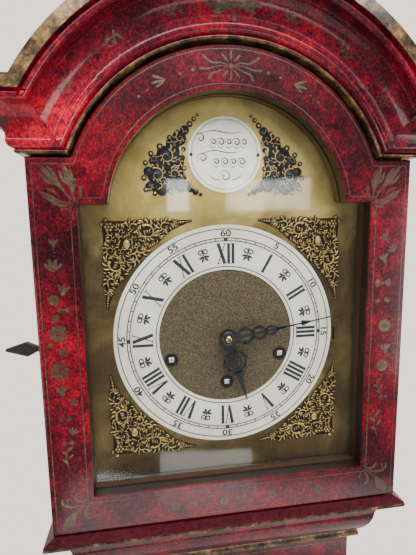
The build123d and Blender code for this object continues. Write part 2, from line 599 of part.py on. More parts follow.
# ---------------------------------------------------------------- movement
def plates():
    """Front and back plates with every pivot hole, and the brackets that they carry."""
    outline = block(-88, 88, 0, FP_T, DIAL_Z - 82, DIAL_Z + 68)
    arbors = [((0, 0), ARBOR_R), (THIRD_AT, ARBOR_R), (ESCAPE_AT, ARBOR_R), ((0, PALLET_DZ), ARBOR_R)]
    arbors += [(at, WIND_R) for at in WIND.values()]
    plate = outline
    for (x, dz), r in arbors:
        plate -= rod_y(x, DIAL_Z + dz, r + RUN, -1, FP_T + 1)
    front = Pos(0, FP_FRONT, 0) * plate
    front += rod_y(MINUTE_AT[0], DIAL_Z + MINUTE_AT[1], 1.5, MOTION_Y[0] - 11, FP_FRONT + 0.5)
    back = Pos(0, BP_FRONT, 0) * plate

    pillars = []
    for x in (-70, 70):
        for dz in (-70, 58):
            waist = rod_y(x, DIAL_Z + dz, 3.5, FP_BACK, BP_FRONT)
            ends = [rod_y(x, DIAL_Z + dz, 5.5, FP_BACK, FP_BACK + 5),
                    rod_y(x, DIAL_Z + dz, 5.5, BP_FRONT - 5, BP_FRONT)]
            pillars.append(waist + ends[0] + ends[1])
    keep("movement_frame", front, back, *pillars)

    # The pendulum cock holds the suspension block, and two lugs hold the hammer arbor.
    cock = block(-16, 16, BP_BACK, BP_BACK + 3, PENDULUM_Z + 4, PENDULUM_Z + 12)
    cock += block(-9, 9, BP_BACK, PENDULUM_Y + 6, PENDULUM_Z + 6, PENDULUM_Z + 12)
    cock -= block(-4.9, 4.9, PENDULUM_Y - 0.35, PENDULUM_Y + 0.35, PENDULUM_Z, PENDULUM_Z + 9)
    x0, x1 = HAMMER_X[0] - 8, HAMMER_X[-1] + 8
    lugs = []
    for x in (x0, x1):
        end = max(x, 60.0)
        arm = block(min(x, end) - 1.5, max(x, 60.0) + 1.5, BP_BACK, BP_BACK + 2, HAMMER_Z - 6, HAMMER_Z + 6)
        lugs.append(arm + block(x - 1.5, x + 1.5, BP_BACK, HAMMER_Y + 5, HAMMER_Z - 6, HAMMER_Z + 6))
    arbor = rod_x(HAMMER_Y, HAMMER_Z, 1.5, x0, x1)
    keep("back_plate_brackets", cock, lugs[0] + lugs[1] + arbor)


HAMMER_X = [31.5 + 11 * i for i in range(8)]
HAMMER_Y = BP_BACK + 32.0
HAMMER_Z = DIAL_Z - 44.0
ROD_Y = TRUNK_BACK - 15.0
ROD_TOP = DIAL_Z + 14.0
MOTION_Y = (FP_FRONT - 1.0, FP_FRONT - 3.0)


def trains():
    wheel = dict(share=0.40, addendum=0.70, holes=5)
    leaf = dict(share=0.34, addendum=0.55)
    centre, great_at = (0.0, 0.0), WIND["time"]

    cannon_phase = 0.0
    minute_phase = mesh_phase(cannon_phase, CANNON[0], MINUTE_WHEEL[0], centre, MINUTE_AT)
    pinion_phase = 0.0
    hour_phase = mesh_phase(pinion_phase, MINUTE_PINION[0], HOUR_WHEEL[0], MINUTE_AT, centre)
    centre_phase = 0.0
    third_pinion_phase = mesh_phase(centre_phase, CENTRE_WHEEL[0], THIRD_PINION[0], centre, THIRD_AT)
    third_phase = 0.0
    escape_phase = mesh_phase(third_phase, THIRD_WHEEL[0], ESCAPE_PINION[0], THIRD_AT, ESCAPE_AT)
    great_phase = mesh_phase(0.0, CENTRE_PINION[0], GREAT[0], centre, great_at)

    y = MOTION_Y
    great_y = FP_BACK + 4.5
    arbor = rod_y(0, DIAL_Z, ARBOR_R, MINUTE_HAND_Y - 3.2, BP_BACK + 1)
    arbor += rod_y(0, DIAL_Z, 3.0, MINUTE_HAND_Y + HAND_T, y[0])
    arbor += gear(*CANNON, centre, y[1] - 1, y[0], cannon_phase, **leaf)
    arbor += gear(*CENTRE_PINION, centre, great_y - 1.5, great_y + 4, 0.0, **leaf)
    arbor += rod_y(0, DIAL_Z, 6, DRUM_Y1 + 4, DRUM_Y1 + 7)
    arbor += gear(*CENTRE_WHEEL, centre, DRUM_Y1 + 7, DRUM_Y1 + 9, centre_phase, **wheel)
    keep("centre_arbor", arbor)

    minute = gear(*MINUTE_WHEEL, MINUTE_AT, y[1], y[0] - 0.2, minute_phase, bore=1.5 + RUN, **wheel)
    minute += gear(*MINUTE_PINION, MINUTE_AT, y[1] - 7, y[1], pinion_phase, bore=1.5 + RUN, **leaf)
    keep("minute_wheel", minute)

    hour = gear(*HOUR_WHEEL, centre, y[1] - 5.5, y[1] - 3.5, hour_phase, bore=3.0 + RUN, **wheel)
    hour += tube_y(0, DIAL_Z, 4.2, 3.0 + RUN, HOUR_HAND_Y - 0.5, y[1] - 3.5)
    keep("hour_wheel", hour)

    third = rod_y(THIRD_AT[0], DIAL_Z + THIRD_AT[1], ARBOR_R, FP_FRONT, BP_BACK)
    third += gear(*THIRD_PINION, THIRD_AT, DRUM_Y1 + 5.5, DRUM_Y1 + 10.5, third_pinion_phase, **leaf)
    third += gear(*THIRD_WHEEL, THIRD_AT, DRUM_Y1 + 1, DRUM_Y1 + 3, third_phase, **wheel)
    keep("third_wheel", third)

    ex, ez = ESCAPE_AT[0], DIAL_Z + ESCAPE_AT[1]
    escape = rod_y(ex, ez, ARBOR_R, FP_FRONT, BP_BACK)
    escape += gear(*ESCAPE_PINION, ESCAPE_AT, DRUM_Y1 - 0.5, DRUM_Y1 + 4.5, escape_phase, **leaf)
    points = []
    pitch = 2 * pi / ESCAPE_TEETH
    for i in range(ESCAPE_TEETH):
        for turn, r in ((0.0, ESCAPE_R), (0.14, ESCAPE_R), (0.5, ESCAPE_R - 3.2), (0.84, ESCAPE_R - 3.2)):
            a = (i + turn) * pitch
            points.append((ex + r * cos(a), ez + r * sin(a)))
    disc = slab(points, ESCAPE_Y, ESCAPE_Y + 1.5)
    for i in range(5):
        a = 2 * pi * i / 5
        disc -= rod_y(ex + 7.6 * cos(a), ez + 7.6 * sin(a), 2.6, ESCAPE_Y - 1, ESCAPE_Y + 3)
    keep("escape_wheel", escape + disc)

    gx, gz = great_at[0], DIAL_Z + great_at[1]
    great = gear(*GREAT, great_at, great_y, great_y + 2.5, great_phase, bore=WIND_R + RUN, **wheel)
    keep("great_wheel", great)

    for name, (x, dz) in WIND.items():
        z = DIAL_Z + dz
        square = block(x - 2.4, x + 2.4, PLATE_FRONT - 0.8, FP_FRONT - 8, z - 2.4, z + 2.4)
        drum = rod_y(x, z, WIND_R, FP_FRONT - 8, BP_BACK + 1) + rod_y(x, z, DRUM_R, DRUM_Y0, DRUM_Y1)
        drum += rod_y(x, z, FLANGE_R, DRUM_Y0, DRUM_Y0 + 2) + rod_y(x, z, FLANGE_R, DRUM_Y1 - 2, DRUM_Y1)
        keep(name + "_drum", drum + square)


ESCAPE_Y = DRUM_Y1 - 9.0


def escapement():
    z0 = PENDULUM_Z
    # The anchor spans seven and a half teeth, with its pallets just clear of the tooth tips.
    reach = (ESCAPE_R + PALLET_CLEAR) * sin(pi / 4)
    tip_z = DIAL_Z + ESCAPE_AT[1] + (ESCAPE_R + PALLET_CLEAR) * cos(pi / 4)
    right = [(0, z0 + 5), (4, z0 + 4), (reach + 5, z0 - 3), (reach + 6, z0 - 8), (reach + 0.4, tip_z + 0.2),
             (reach + 0.2, tip_z + 3), (reach + 1.5, z0 - 6), (3, z0 - 2), (0, z0 - 4)]
    left = [(-x, z) for x, z in reversed(right[1:-1])]
    anchor = slab(right + left, ESCAPE_Y - 0.8, ESCAPE_Y + 2.2)
    anchor += rod_y(0, z0, ARBOR_R, FP_FRONT, PENDULUM_Y - 6)
    anchor += block(-2, 2, PENDULUM_Y - 7, PENDULUM_Y - 5, z0 - 74, z0 + 2)
    for x in (-4.6, 4.6):
        anchor += block(x - 0.9, x + 0.9, PENDULUM_Y - 7, PENDULUM_Y + 5, z0 - 76, z0 - 72)
    anchor += block(-5.5, 5.5, PENDULUM_Y - 7, PENDULUM_Y - 5, z0 - 76, z0 - 72)
    keep("pallet_anchor", anchor)

    y = PENDULUM_Y
    spring = block(-4, 4, y - 0.15, y + 0.15, z0 - 12, z0 + 8.5)
    clip = block(-5, 5, y - 3, y + 3, z0 - 22, z0 - 11)
    bob_z = z0 - PENDULUM_L
    rod = block(-3.4, 3.4, y - 2, y + 2, bob_z + BOB_R - 4, z0 - 22)
    rod += rod_z(0, y, 2.0, bob_z - BOB_R - 26, bob_z + BOB_R - 4)
    keep("pendulum_rod", clip + spring + rod)
    lens_r = (BOB_R ** 2 + 9.0 ** 2) / 18.0
    front = Pos(0, y + lens_r - 9.0, bob_z) * Sphere(lens_r)
    rear = Pos(0, y - lens_r + 9.0, bob_z) * Sphere(lens_r)
    lens = (front & rear) - rod_z(0, y, 2.0 + RUN, bob_z - 80, bob_z + 80)
    lens -= block(-3.5, 3.5, y - 2.1, y + 2.1, bob_z + BOB_R - 4.2, bob_z + BOB_R + 2)
    keep("pendulum_bob", lens)
    nut = rod_z(0, y, 7, bob_z - BOB_R - 9, bob_z - BOB_R - 1)
    nut = nut - rod_z(0, y, 2.0, bob_z - BOB_R - 12, bob_z - BOB_R + 2)
    keep("rating_nut", nut)


def weights():
    y = CABLE_Y
    for name, (x, dz) in WIND.items():
        body = rod_z(x, y, WEIGHT_R, WEIGHT_BOTTOM, WEIGHT_BOTTOM + WEIGHT_L)
        body = fillet(body.edges(), 3.0)
        stirrup = rod_z(x, y, 2.5, WEIGHT_BOTTOM + WEIGHT_L - 1, PULLEY_Z - PULLEY_R - 8)
        yoke = block(x - 5, x + 5, y - 7.5, y + 7.5, PULLEY_Z - PULLEY_R - 10, PULLEY_Z - PULLEY_R - 6)
        for s in (-1, 1):
            cheek = block(x - 5, x + 5, y + s * 6.5 - 1, y + s * 6.5 + 1,
                          PULLEY_Z - PULLEY_R - 10, PULLEY_Z + 6)
            yoke = yoke + cheek
        pin = rod_y(x, PULLEY_Z, 1.5, y - 8.5, y + 8.5)
        keep(name + "_weight", body + stirrup + yoke + pin)

        sheave = rod_y(x, PULLEY_Z, PULLEY_R + 3.2, y - 4, y + 4)
        groove = tube_y(x, PULLEY_Z, PULLEY_R + 6, PULLEY_R - 0.3, y - 1.3, y + 1.3)
        sheave = sheave - groove - rod_y(x, PULLEY_Z, 1.5 + RUN, y - 6, y + 6)
        for i in range(5):
            a = 2 * pi * i / 5
            sheave -= rod_y(x + 10.5 * cos(a), PULLEY_Z + 10.5 * sin(a), 4.0, y - 6, y + 6)
        keep(name + "_pulley", sheave)

        # The cable leaves its drum, runs round the pulley and is tied off in the seatboard.
        side = CABLE_OFF
        drop = Line((x - side, y, DIAL_Z + dz), (x - side, y, PULLEY_Z))
        turn = ThreePointArc((x - side, y, PULLEY_Z), (x, y, PULLEY_Z - side), (x + side, y, PULLEY_Z))
        lift = Line((x + side, y, PULLEY_Z), (x + side, y, SEAT_TOP))
        section = Plane(origin=(x - side, y, DIAL_Z + dz), z_dir=(0, 0, -1)) * Circle(CABLE_R)
        keep(name + "_cable", sweep(section, path=Wire([*drop.edges(), *turn.edges(), *lift.edges()])))


def seatboard():
    board = block(-TRUNK_HALF, TRUNK_HALF, FP_FRONT - 6, BP_BACK + 26, SEAT_BOTTOM, SEAT_TOP)
    for x, _ in WIND.values():
        for s in (-1, 1):
            cx = x + s * CABLE_OFF
            width = 5.0 if s < 0 else CABLE_R
            cut = block(cx - width, cx + width, CABLE_Y - 17, CABLE_Y + 17, SEAT_BOTTOM - 1, SEAT_TOP + 1)
            board -= cut if s < 0 else rod_z(cx, CABLE_Y, width + 0.02, SEAT_BOTTOM - 1, SEAT_TOP + 1)
    board -= block(-36, 36, FP_BACK + 2, FP_BACK + 9, SEAT_BOTTOM - 1, SEAT_TOP + 1)
    board -= block(-24, 24, BP_BACK - 1, BP_BACK + 30, SEAT_BOTTOM - 1, SEAT_TOP + 1)
    keep("seatboard", board)


def chimes():
    x0, x1 = HAMMER_X[0] - 9, HAMMER_X[-1] + 9
    bar = block(x0, x1, ROD_Y - 9, TRUNK_BACK, ROD_TOP, ROD_TOP + 20)
    rods = [rod_z(x, ROD_Y, 1.6, ROD_TOP - 420 + 22 * i, ROD_TOP) for i, x in enumerate(HAMMER_X)]
    keep("chime_rods", bar, *rods)

    hammers = []
    for x in HAMMER_X:
        arm = block(x - 1.2, x + 1.2, HAMMER_Y - 3, HAMMER_Y + 3, HAMMER_Z - 14, HAMMER_Z + 36)
        boss = rod_x(HAMMER_Y, HAMMER_Z, 4.0, x - 2.6, x + 2.6)
        head = rod_y(x, HAMMER_Z + 38, 4.0, HAMMER_Y - 10, ROD_Y - 1.6 - 2.5)
        tail = block(x - 1.2, x + 1.2, HAMMER_Y - 12, HAMMER_Y, HAMMER_Z - 14, HAMMER_Z - 11)
        solid = arm + boss + head + tail
        hammers.append(solid - rod_x(HAMMER_Y, HAMMER_Z, 1.5 + RUN, x - 5, x + 5))
    keep("chime_hammers", *hammers)


def hands():
    hour = hand(HOUR_LEN, HOUR_ANGLE, HOUR_HAND_Y - HAND_T / 2, 9.5, 4.23, 52.0, 11.0)
    keep("hour_hand", hour)
    minute = hand(MINUTE_LEN, MINUTE_ANGLE, MINUTE_HAND_Y, 8.5, 2.03, 62.0, 6.5)
    nut = rod_y(0, DIAL_Z, 4.0, MINUTE_HAND_Y - 3.0, MINUTE_HAND_Y)
    nut -= rod_y(0, DIAL_Z, 2.03, MINUTE_HAND_Y - 4, MINUTE_HAND_Y + 1)
    keep("minute_hand", minute, nut)


case()
hood()
hood_door()
hinges()
hood_lock()
trunk_door()
dial()
hands()
plates()
trains()
escapement()
weights()
seatboard()
chimes()

os.makedirs("parts", exist_ok=True)
for name, shape in made.items():
    export_step(shape, f"parts/{name}.step")
print(len(made), "nodes")
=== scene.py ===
import random
from math import asin, cos, degrees, hypot, pi, radians, sin, sqrt

import bpy
from mathutils import Euler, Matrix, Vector
from mathutils.bvhtree import BVHTree


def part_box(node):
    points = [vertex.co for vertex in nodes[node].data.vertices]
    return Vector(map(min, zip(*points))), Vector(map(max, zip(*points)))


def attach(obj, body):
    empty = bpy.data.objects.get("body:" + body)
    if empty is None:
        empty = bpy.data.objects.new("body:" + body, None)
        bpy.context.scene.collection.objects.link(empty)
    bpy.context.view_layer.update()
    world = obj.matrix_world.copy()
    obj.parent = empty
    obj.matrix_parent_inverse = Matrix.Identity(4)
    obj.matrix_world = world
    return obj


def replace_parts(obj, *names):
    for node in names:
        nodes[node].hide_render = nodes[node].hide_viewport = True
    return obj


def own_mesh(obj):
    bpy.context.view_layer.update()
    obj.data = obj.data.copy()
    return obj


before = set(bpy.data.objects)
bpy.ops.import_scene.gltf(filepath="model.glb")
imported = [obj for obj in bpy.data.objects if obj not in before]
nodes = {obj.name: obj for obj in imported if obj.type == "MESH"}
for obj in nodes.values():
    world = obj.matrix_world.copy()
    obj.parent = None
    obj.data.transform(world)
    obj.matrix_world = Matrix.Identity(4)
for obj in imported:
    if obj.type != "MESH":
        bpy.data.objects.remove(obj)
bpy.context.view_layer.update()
MM = 0.001

# ---------------------------------------------------------------- places, from the frame, in millimetres


def edges(node):
    low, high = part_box(node)
    return [v / MM for v in low], [v / MM for v in high]


ring_low, ring_high = edges("chapter_ring")
door_low, door_high = edges("hood_door_frame")
cornice_low, cornice_high = edges("hood_cornice")
boss_low, boss_high = edges("dial_boss")
DIAL_Z = (ring_low[2] + ring_high[2]) / 2
RING_Y = ring_low[1]
PLATE_Y = edges("dial_plate")[0][1]
BOSS_Z = (boss_low[2] + boss_high[2]) / 2
BOSS_Y = boss_low[1]
FRONT = door_low[1]
SHOULDER_Z = cornice_low[2]
ARCH_RISE = 121.0          # the arch's centre above the dial's
ARCH_Z = DIAL_Z + ARCH_RISE
CORNICE_H = 49.0           # height of the cornice moulding
CORNICE_R = cornice_high[2] - CORNICE_H - ARCH_Z
HOOD_HALF = door_high[0]

# The winding arbors' places, from the dial centre
WINDING = {"strike": (-57.8, -22.2), "time": (0.0, -49.7), "chime": (57.8, -22.2)}

CABLE_R = 0.8              # radius of the weight cables

# The door's opening just inside its front edge, from the dial centre
REVEAL_HALF, REVEAL_BOTTOM, REVEAL_SHOULDER, REVEAL_R = 139.0, -143.5, 136.0, 113.5


# ---------------------------------------------------------------- materials
class Look:
    """A node material whose coordinates are the row frame's, in metres."""

    def __init__(self, name):
        self.mat = bpy.data.materials.new(name)
        self.mat.use_nodes = True
        self.tree = self.mat.node_tree
        self.tree.nodes.clear()
        self.bsdf = self.new("ShaderNodeBsdfPrincipled")
        out = self.new("ShaderNodeOutputMaterial")
        self.tree.links.new(self.bsdf.outputs[0], out.inputs[0])
        self.coord = self.new("ShaderNodeTexCoord").outputs["Object"]

    def new(self, kind, **props):
        node = self.tree.nodes.new(kind)
        for key, value in props.items():
            setattr(node, key, value)
        return node

    def put(self, socket, value):
        if isinstance(value, bpy.types.NodeSocket):
            self.tree.links.new(value, socket)
        elif isinstance(value, (tuple, list)) and len(value) == 3 and socket.type == "RGBA":
            socket.default_value = (*value, 1.0)
        else:
            socket.default_value = value

    def noise(self, scale, detail=4.0, rough=0.55, stretch=(1, 1, 1), twist=0.0):
        mapping = self.new("ShaderNodeMapping")
        self.put(mapping.inputs["Vector"], self.coord)
        mapping.inputs["Scale"].default_value = stretch
        node = self.new("ShaderNodeTexNoise")
        self.put(node.inputs["Vector"], mapping.outputs[0])
        for key, value in (("Scale", scale), ("Detail", detail), ("Roughness", rough),
                           ("Distortion", twist)):
            node.inputs[key].default_value = value
        return node.outputs[0]

    def ramp(self, fac, stops):
        node = self.new("ShaderNodeValToRGB")
        self.put(node.inputs[0], fac)
        bar = node.color_ramp
        while len(bar.elements) < len(stops):
            bar.elements.new(0.5)
        for element, (place, colour) in zip(bar.elements, stops):
            element.position = place
            element.color = (*colour, 1.0) if isinstance(colour, tuple) else (colour, colour, colour, 1.0)
        return node.outputs[0]

    def math(self, what, a, b=0.0, clamp=False):
        node = self.new("ShaderNodeMath", operation=what, use_clamp=clamp)
        self.put(node.inputs[0], a)
        self.put(node.inputs[1], b)
        return node.outputs[0]

    def weigh(self, *terms):
        """Each socket times its share, added up."""
        total = None
        for socket, share in terms:
            part = self.math("MULTIPLY", socket, share)
            total = part if total is None else self.math("ADD", total, part)
        return total

    def mix(self, fac, a, b):
        node = self.new("ShaderNodeMix", data_type="RGBA")
        self.put(node.inputs[0], fac)
        self.put(node.inputs[6], a)
        self.put(node.inputs[7], b)
        return node.outputs[2]

    def blend(self, fac, a, b):
        """A number between a and b."""
        node = self.new("ShaderNodeMix", data_type="FLOAT")
        self.put(node.inputs[0], fac)
        self.put(node.inputs[2], a)
        self.put(node.inputs[3], b)
        return node.outputs[0]

    def share(self, value, low, high):
        """0 where a length in metres is low, 1 where it is high, both in millimetres."""
        node = self.new("ShaderNodeMapRange")
        self.put(node.inputs[0], value)
        for i, limit in enumerate((low * MM, high * MM, 0.0, 1.0)):
            node.inputs[i + 1].default_value = limit
        return node.outputs[0]

    def xyz(self):
        node = self.new("ShaderNodeSeparateXYZ")
        self.put(node.inputs[0], self.coord)
        return node.outputs

    def bump(self, height, strength, depth):
        node = self.new("ShaderNodeBump")
        node.inputs["Strength"].default_value = strength
        node.inputs["Distance"].default_value = depth
        self.put(node.inputs["Height"], height)
        self.put(self.bsdf.inputs["Normal"], node.outputs[0])

    def set(self, **sockets):
        for key, value in sockets.items():
            self.put(self.bsdf.inputs[key.replace("_", " ")], value)
        return self.mat


def scaled(stops, painted_light):
    """A ramp's stops with every colour brightened by the same share: painted light where the share is above
    1.
    """
    return [(level, tuple(painted_light * c for c in colour)) for level, colour in stops]


def lacquer_colour(look, painted_light=1.0):
    cloud = look.noise(11.0, 3.0, 0.5)
    blot = look.noise(90.0, 4.0, 0.6, twist=0.6)
    fleck = look.noise(480.0, 4.0, 0.75, (1.0, 1.0, 0.75), 0.4)
    stops = ((0.43, (0.012, 0.001, 0.003)), (0.49, (0.046, 0.002, 0.006)), (0.55, (0.128, 0.002, 0.009)),
             (0.63, (0.330, 0.005, 0.014)))
    # A factor above 1 brightens every stop as painted light.
    return look.ramp(look.weigh((cloud, 0.34), (blot, 0.20), (fleck, 0.46)), scaled(stops, painted_light))


def gilt_colour(look):
    wear = look.noise(230.0, 6.0, 0.75, (1.0, 1.0, 1.0), 0.4)
    patch = look.noise(75.0, 3.0, 0.6)
    return look.ramp(look.weigh((wear, 0.45), (patch, 0.55)),
                     [(0.41, (0.018, 0.012, 0.009)), (0.48, (0.055, 0.034, 0.017)),
                             (0.55, (0.130, 0.080, 0.034)), (0.65, (0.360, 0.210, 0.078))])


def lacquer(name, gilded=None, painted_shade_mask=None, painted_shade_colour=(0.011, 0.008, 0.008), painted_light=1.0):
    """Mottled red lacquer; gilded is a mask, 1 where members are gilt, and the shade mask is 1 where a dark
    colour stands in as painted shade. A brightening factor above 1 is painted light.
    """
    look = Look(name)
    colour = lacquer_colour(look, painted_light)
    ripple = look.noise(60.0, 3.0, 0.5)
    rough = look.ramp(look.noise(45.0, 4.0, 0.6), [(0.3, 0.28), (0.7, 0.44)])
    metal = 0.0
    # Painted shade: where the mask is 1, a dark colour mottled by grain replaces the red.
    if painted_shade_mask:
        grain = look.noise(210.0, 4.0, 0.6)
        paint = look.ramp(grain, [(0.35, tuple(0.4 * c for c in painted_shade_colour)), (0.65, painted_shade_colour)])
        colour = look.mix(painted_shade_mask(look, *look.xyz()), colour, paint)
    if gilded:
        mask = gilded(look, *look.xyz())
        colour = look.mix(mask, colour, gilt_colour(look))
        rough = look.blend(mask, rough, 0.42)
        metal = look.math("MULTIPLY", mask, 0.55)
    look.bump(ripple, 0.10, 0.0012)
    return look.set(Base_Color=colour, Roughness=rough, Metallic=metal, Coat_Weight=0.50,
                    Coat_Roughness=0.11, Specular_IOR_Level=0.12)


def any_of(look, *masks):
    total = masks[0]
    for mask in masks[1:]:
        total = look.math("MAXIMUM", total, mask)
    return total


def above(look, value, limit):
    """1 where value passes limit, with a soft edge 0.4 mm wide."""
    return look.math("MULTIPLY", look.math("SUBTRACT", value, limit - 0.0002), 2500.0, clamp=True)


def below(look, value, limit):
    return look.math("SUBTRACT", 1.0, above(look, value, limit), clamp=True)


def radius_from(look, x, z, height):
    """Distance in the x-z plane from the clock's middle line at a height."""
    rise = look.math("SUBTRACT", z, height * MM)
    return look.math("SQRT",
                     look.math("ADD", look.math("MULTIPLY", x, x), look.math("MULTIPLY", rise, rise)))


def cornice_gilt(look, x, y, z):
    side = look.math("ABSOLUTE", x)
    radius = radius_from(look, x, z, ARCH_Z)
    return any_of(look, below(look, y, (cornice_low[1] + 0.8) * MM),
                  above(look, side, (cornice_high[0] - 0.8) * MM), below(look, z, (SHOULDER_Z + 2.2) * MM),
                  below(look, radius, (CORNICE_R + 2.2) * MM))


def base_gilt(look, x, y, z):
    return below(look, z, (hood_base_high[2] - 4.6) * MM)


def opening_reveal(look, x, y, z):
    """The inner faces of the door's opening, behind its front edge: a painted shade, near-black, for the
    shadow inside the opening.
    """
    side = look.math("ABSOLUTE", x)
    radius = radius_from(look, x, z, ARCH_Z)
    box = look.math("MULTIPLY", below(look, side, REVEAL_HALF * MM),
                    above(look, z, (DIAL_Z + REVEAL_BOTTOM) * MM))
    box = look.math("MULTIPLY", box, below(look, z, (DIAL_Z + REVEAL_SHOULDER) * MM))
    inside = any_of(look, box, below(look, radius, REVEAL_R * MM))
    return look.math("MULTIPLY", inside, above(look, y, (FRONT + 2.8) * MM))


# The top slope of the hood base, painted dark wine as shade.
def base_slope(look, x, y, z):
    return above(look, z, (hood_base_high[2] - 4.0) * MM)


def band_gilt(low, high):
    def mask(look, x, y, z):
        return look.math("MULTIPLY", above(look, z, low * MM), below(look, z, high * MM))
    return mask


def gilding_paint():
    """Thin gold paint, rubbed through to the red in places."""
    look = Look("gold_paint")
    rub = look.noise(260.0, 5.0, 0.75, twist=0.5)
    bright = look.noise(16.0, 2.0, 0.5)
    colour = look.ramp(look.weigh((rub, 0.6), (bright, 0.4)),
                       [(0.40, (0.050, 0.008, 0.008)), (0.47, (0.050, 0.026, 0.012)),
                               (0.57, (0.085, 0.058, 0.028)), (0.70, (0.280, 0.200, 0.085))])
    look.bump(rub, 0.15, 0.0004)
    return look.set(Base_Color=colour, Roughness=look.ramp(rub, [(0.3, 0.34), (0.7, 0.48)]), Metallic=0.25,
                    Coat_Weight=0.4, Coat_Roughness=0.15)


def brass(name, dark=(0.20, 0.13, 0.045), light=(0.62, 0.46, 0.19), stretch=(1, 1, 1), rough=(0.22, 0.42),
          scale=90.0):
    look = Look(name)
    grain = look.noise(scale, 5.0, 0.6, stretch)
    stain = look.noise(14.0, 3.0, 0.5)
    mixed = look.weigh((grain, 0.5), (stain, 0.5))
    look.bump(grain, 0.12, 0.0003)
    return look.set(Base_Color=look.ramp(mixed, [(0.35, dark), (0.65, light)]), Metallic=1.0,
                    Roughness=look.ramp(grain, [(0.3, rough[0]), (0.7, rough[1])]))


def antique_brass(name, low, high, gold, dark, metal=0.85):
    """Cast brass, dark in its hollows and rubbed bright on its ridges, from depth low to high in y."""
    look = Look(name)
    height = look.share(look.xyz()[1], low, high)
    fleck = look.noise(500.0, 4.0, 0.6)
    level = look.math("ADD", height, look.math("MULTIPLY", look.math("SUBTRACT", fleck, 0.5), 0.5))
    colour = look.ramp(level,
                       [(0.25, dark), (0.55, tuple((a + b) / 2 for a, b in zip(gold, dark))), (0.85, gold)])
    look.bump(fleck, 0.25, 0.0004)
    return look.set(Base_Color=colour, Metallic=metal, Roughness=0.42)


def dial_brass():
    """Brushed brass, with the matted and darkened centre inside the chapter ring, and a painted highlight
    that turns the brass brighter and yellower towards the top of the arch.
    """
    look = Look("dial_brass")
    x, _, z = look.xyz()
    radius = radius_from(look, x, z, DIAL_Z)
    centre = below(look, radius, 0.0715)
    brush = look.noise(60.0, 6.0, 0.7, (22.0, 1.0, 0.5))
    stain = look.noise(16.0, 4.0, 0.6, twist=0.6)
    sheet = look.ramp(look.weigh((brush, 0.22), (stain, 0.78)),
                      [(0.36, (0.060, 0.034, 0.010)), (0.50, (0.140, 0.092, 0.030)),
                       (0.66, (0.300, 0.220, 0.070))])
    # Painted highlight: a bright yellow brass for the top of the arch, mixed in by height.
    bright = look.ramp(stain, [(0.36, (0.62, 0.44, 0.10)), (0.66, (1.0, 0.80, 0.28))])
    high = look.share(look.math("ADD", z, look.math("MULTIPLY", stain, 0.06)), DIAL_Z + 118, DIAL_Z + 175)
    sheet = look.mix(high, sheet, bright)
    matting = look.noise(1500.0, 2.0, 0.5)
    punched = look.ramp(matting, [(0.40, (0.008, 0.006, 0.003)), (0.50, (0.055, 0.040, 0.017)),
                                  (0.62, (0.190, 0.140, 0.062))])
    look.bump(look.blend(centre, look.math("MULTIPLY", brush, 0.12), matting), 0.35, 0.0004)
    return look.set(Base_Color=look.mix(centre, sheet, punched), Metallic=look.blend(centre, 0.65, 0.35),
                    Roughness=look.blend(centre, 0.30, 0.62))


def silvering(name, painted_light=1.0, metal=0.15):
    look = Look(name)
    grain = look.noise(260.0, 4.0, 0.6)
    stain = look.noise(18.0, 4.0, 0.6)
    look.bump(grain, 0.08, 0.0002)
    stops = ((0.34, (0.64, 0.63, 0.48)), (0.50, (0.77, 0.76, 0.62)), (0.66, (0.87, 0.86, 0.72)))
    # A factor above 1 brightens the silvering as painted light.
    colour = look.ramp(look.weigh((grain, 0.3), (stain, 0.7)), scaled(stops, painted_light))
    return look.set(Base_Color=colour, Metallic=metal, Roughness=0.40)


def steel(name, colour=(0.42, 0.42, 0.43), metal=1.0, rough=0.3):
    look = Look(name)
    grain = look.noise(300.0, 4.0, 0.6, (1, 1, 0.2))
    dull = tuple(0.55 * c for c in colour)
    look.bump(grain, 0.1, 0.0002)
    return look.set(Base_Color=look.ramp(grain, [(0.3, dull), (0.7, colour)]), Metallic=metal,
                    Roughness=look.ramp(grain, [(0.3, rough), (0.7, rough + 0.15)]))


def plain(name, colour, rough=0.4, metal=0.0, scale=300.0):
    look = Look(name)
    grain = look.noise(scale, 4.0, 0.6)
    look.bump(grain, 0.08, 0.0002)
    return look.set(Base_Color=look.ramp(grain, [(0.3, tuple(0.6 * c for c in colour)), (0.7, colour)]),
                    Metallic=metal, Roughness=rough)


def wood(name, dark, light, stretch=(9.0, 9.0, 0.7), rough=0.55):
    look = Look(name)
    grain = look.noise(26.0, 6.0, 0.65, stretch, twist=0.5)
    look.bump(grain, 0.2, 0.0006)
    return look.set(Base_Color=look.ramp(grain, [(0.32, dark), (0.68, light)]), Roughness=rough)


def pale_floor():
    look = Look("pale_floor")
    cloud = look.noise(2.0, 2.0, 0.5)
    return look.set(Base_Color=look.ramp(cloud, [(0.3, (0.78, 0.765, 0.745)), (0.7, (0.82, 0.805, 0.785))]),
                    Roughness=0.7)


def clear_glass():
    """Thin clear glass: mostly see-through, with a mirror's share of the room's light."""
    look = Look("clear_glass")
    smear = look.noise(12.0, 3.0, 0.5)
    look.mat.surface_render_method = "BLENDED"
    return look.set(Base_Color=(0.93, 0.97, 0.96), Metallic=1.0, Alpha=0.055,
                    Roughness=look.ramp(smear, [(0.35, 0.03), (0.7, 0.07)]))


GOLD = gilding_paint()
LACQUER = lacquer("red_lacquer")
INK = plain("engraved_black", (0.006, 0.006, 0.008), 0.6)
BLACK_STEEL = steel("blued_black_steel", (0.016, 0.017, 0.022), 0.35, 0.30)
MOVEMENT_BRASS = brass("movement_brass")
POLISHED = brass("polished_brass", (0.45, 0.32, 0.11), (0.75, 0.56, 0.24), rough=(0.12, 0.26))
STEEL = steel("bright_steel")
BRIGHT = steel("polished_steel", (0.86, 0.85, 0.80), 0.6, 0.25)
DARK_WOOD = wood("dark_oak", (0.035, 0.018, 0.010), (0.110, 0.058, 0.030))

throat_low, throat_high = edges("throat_moulding")
hood_base_high = edges("hood_base")[1]
waist_low, waist_high = edges("waist_moulding")
plinth_high = edges("plinth")[1]

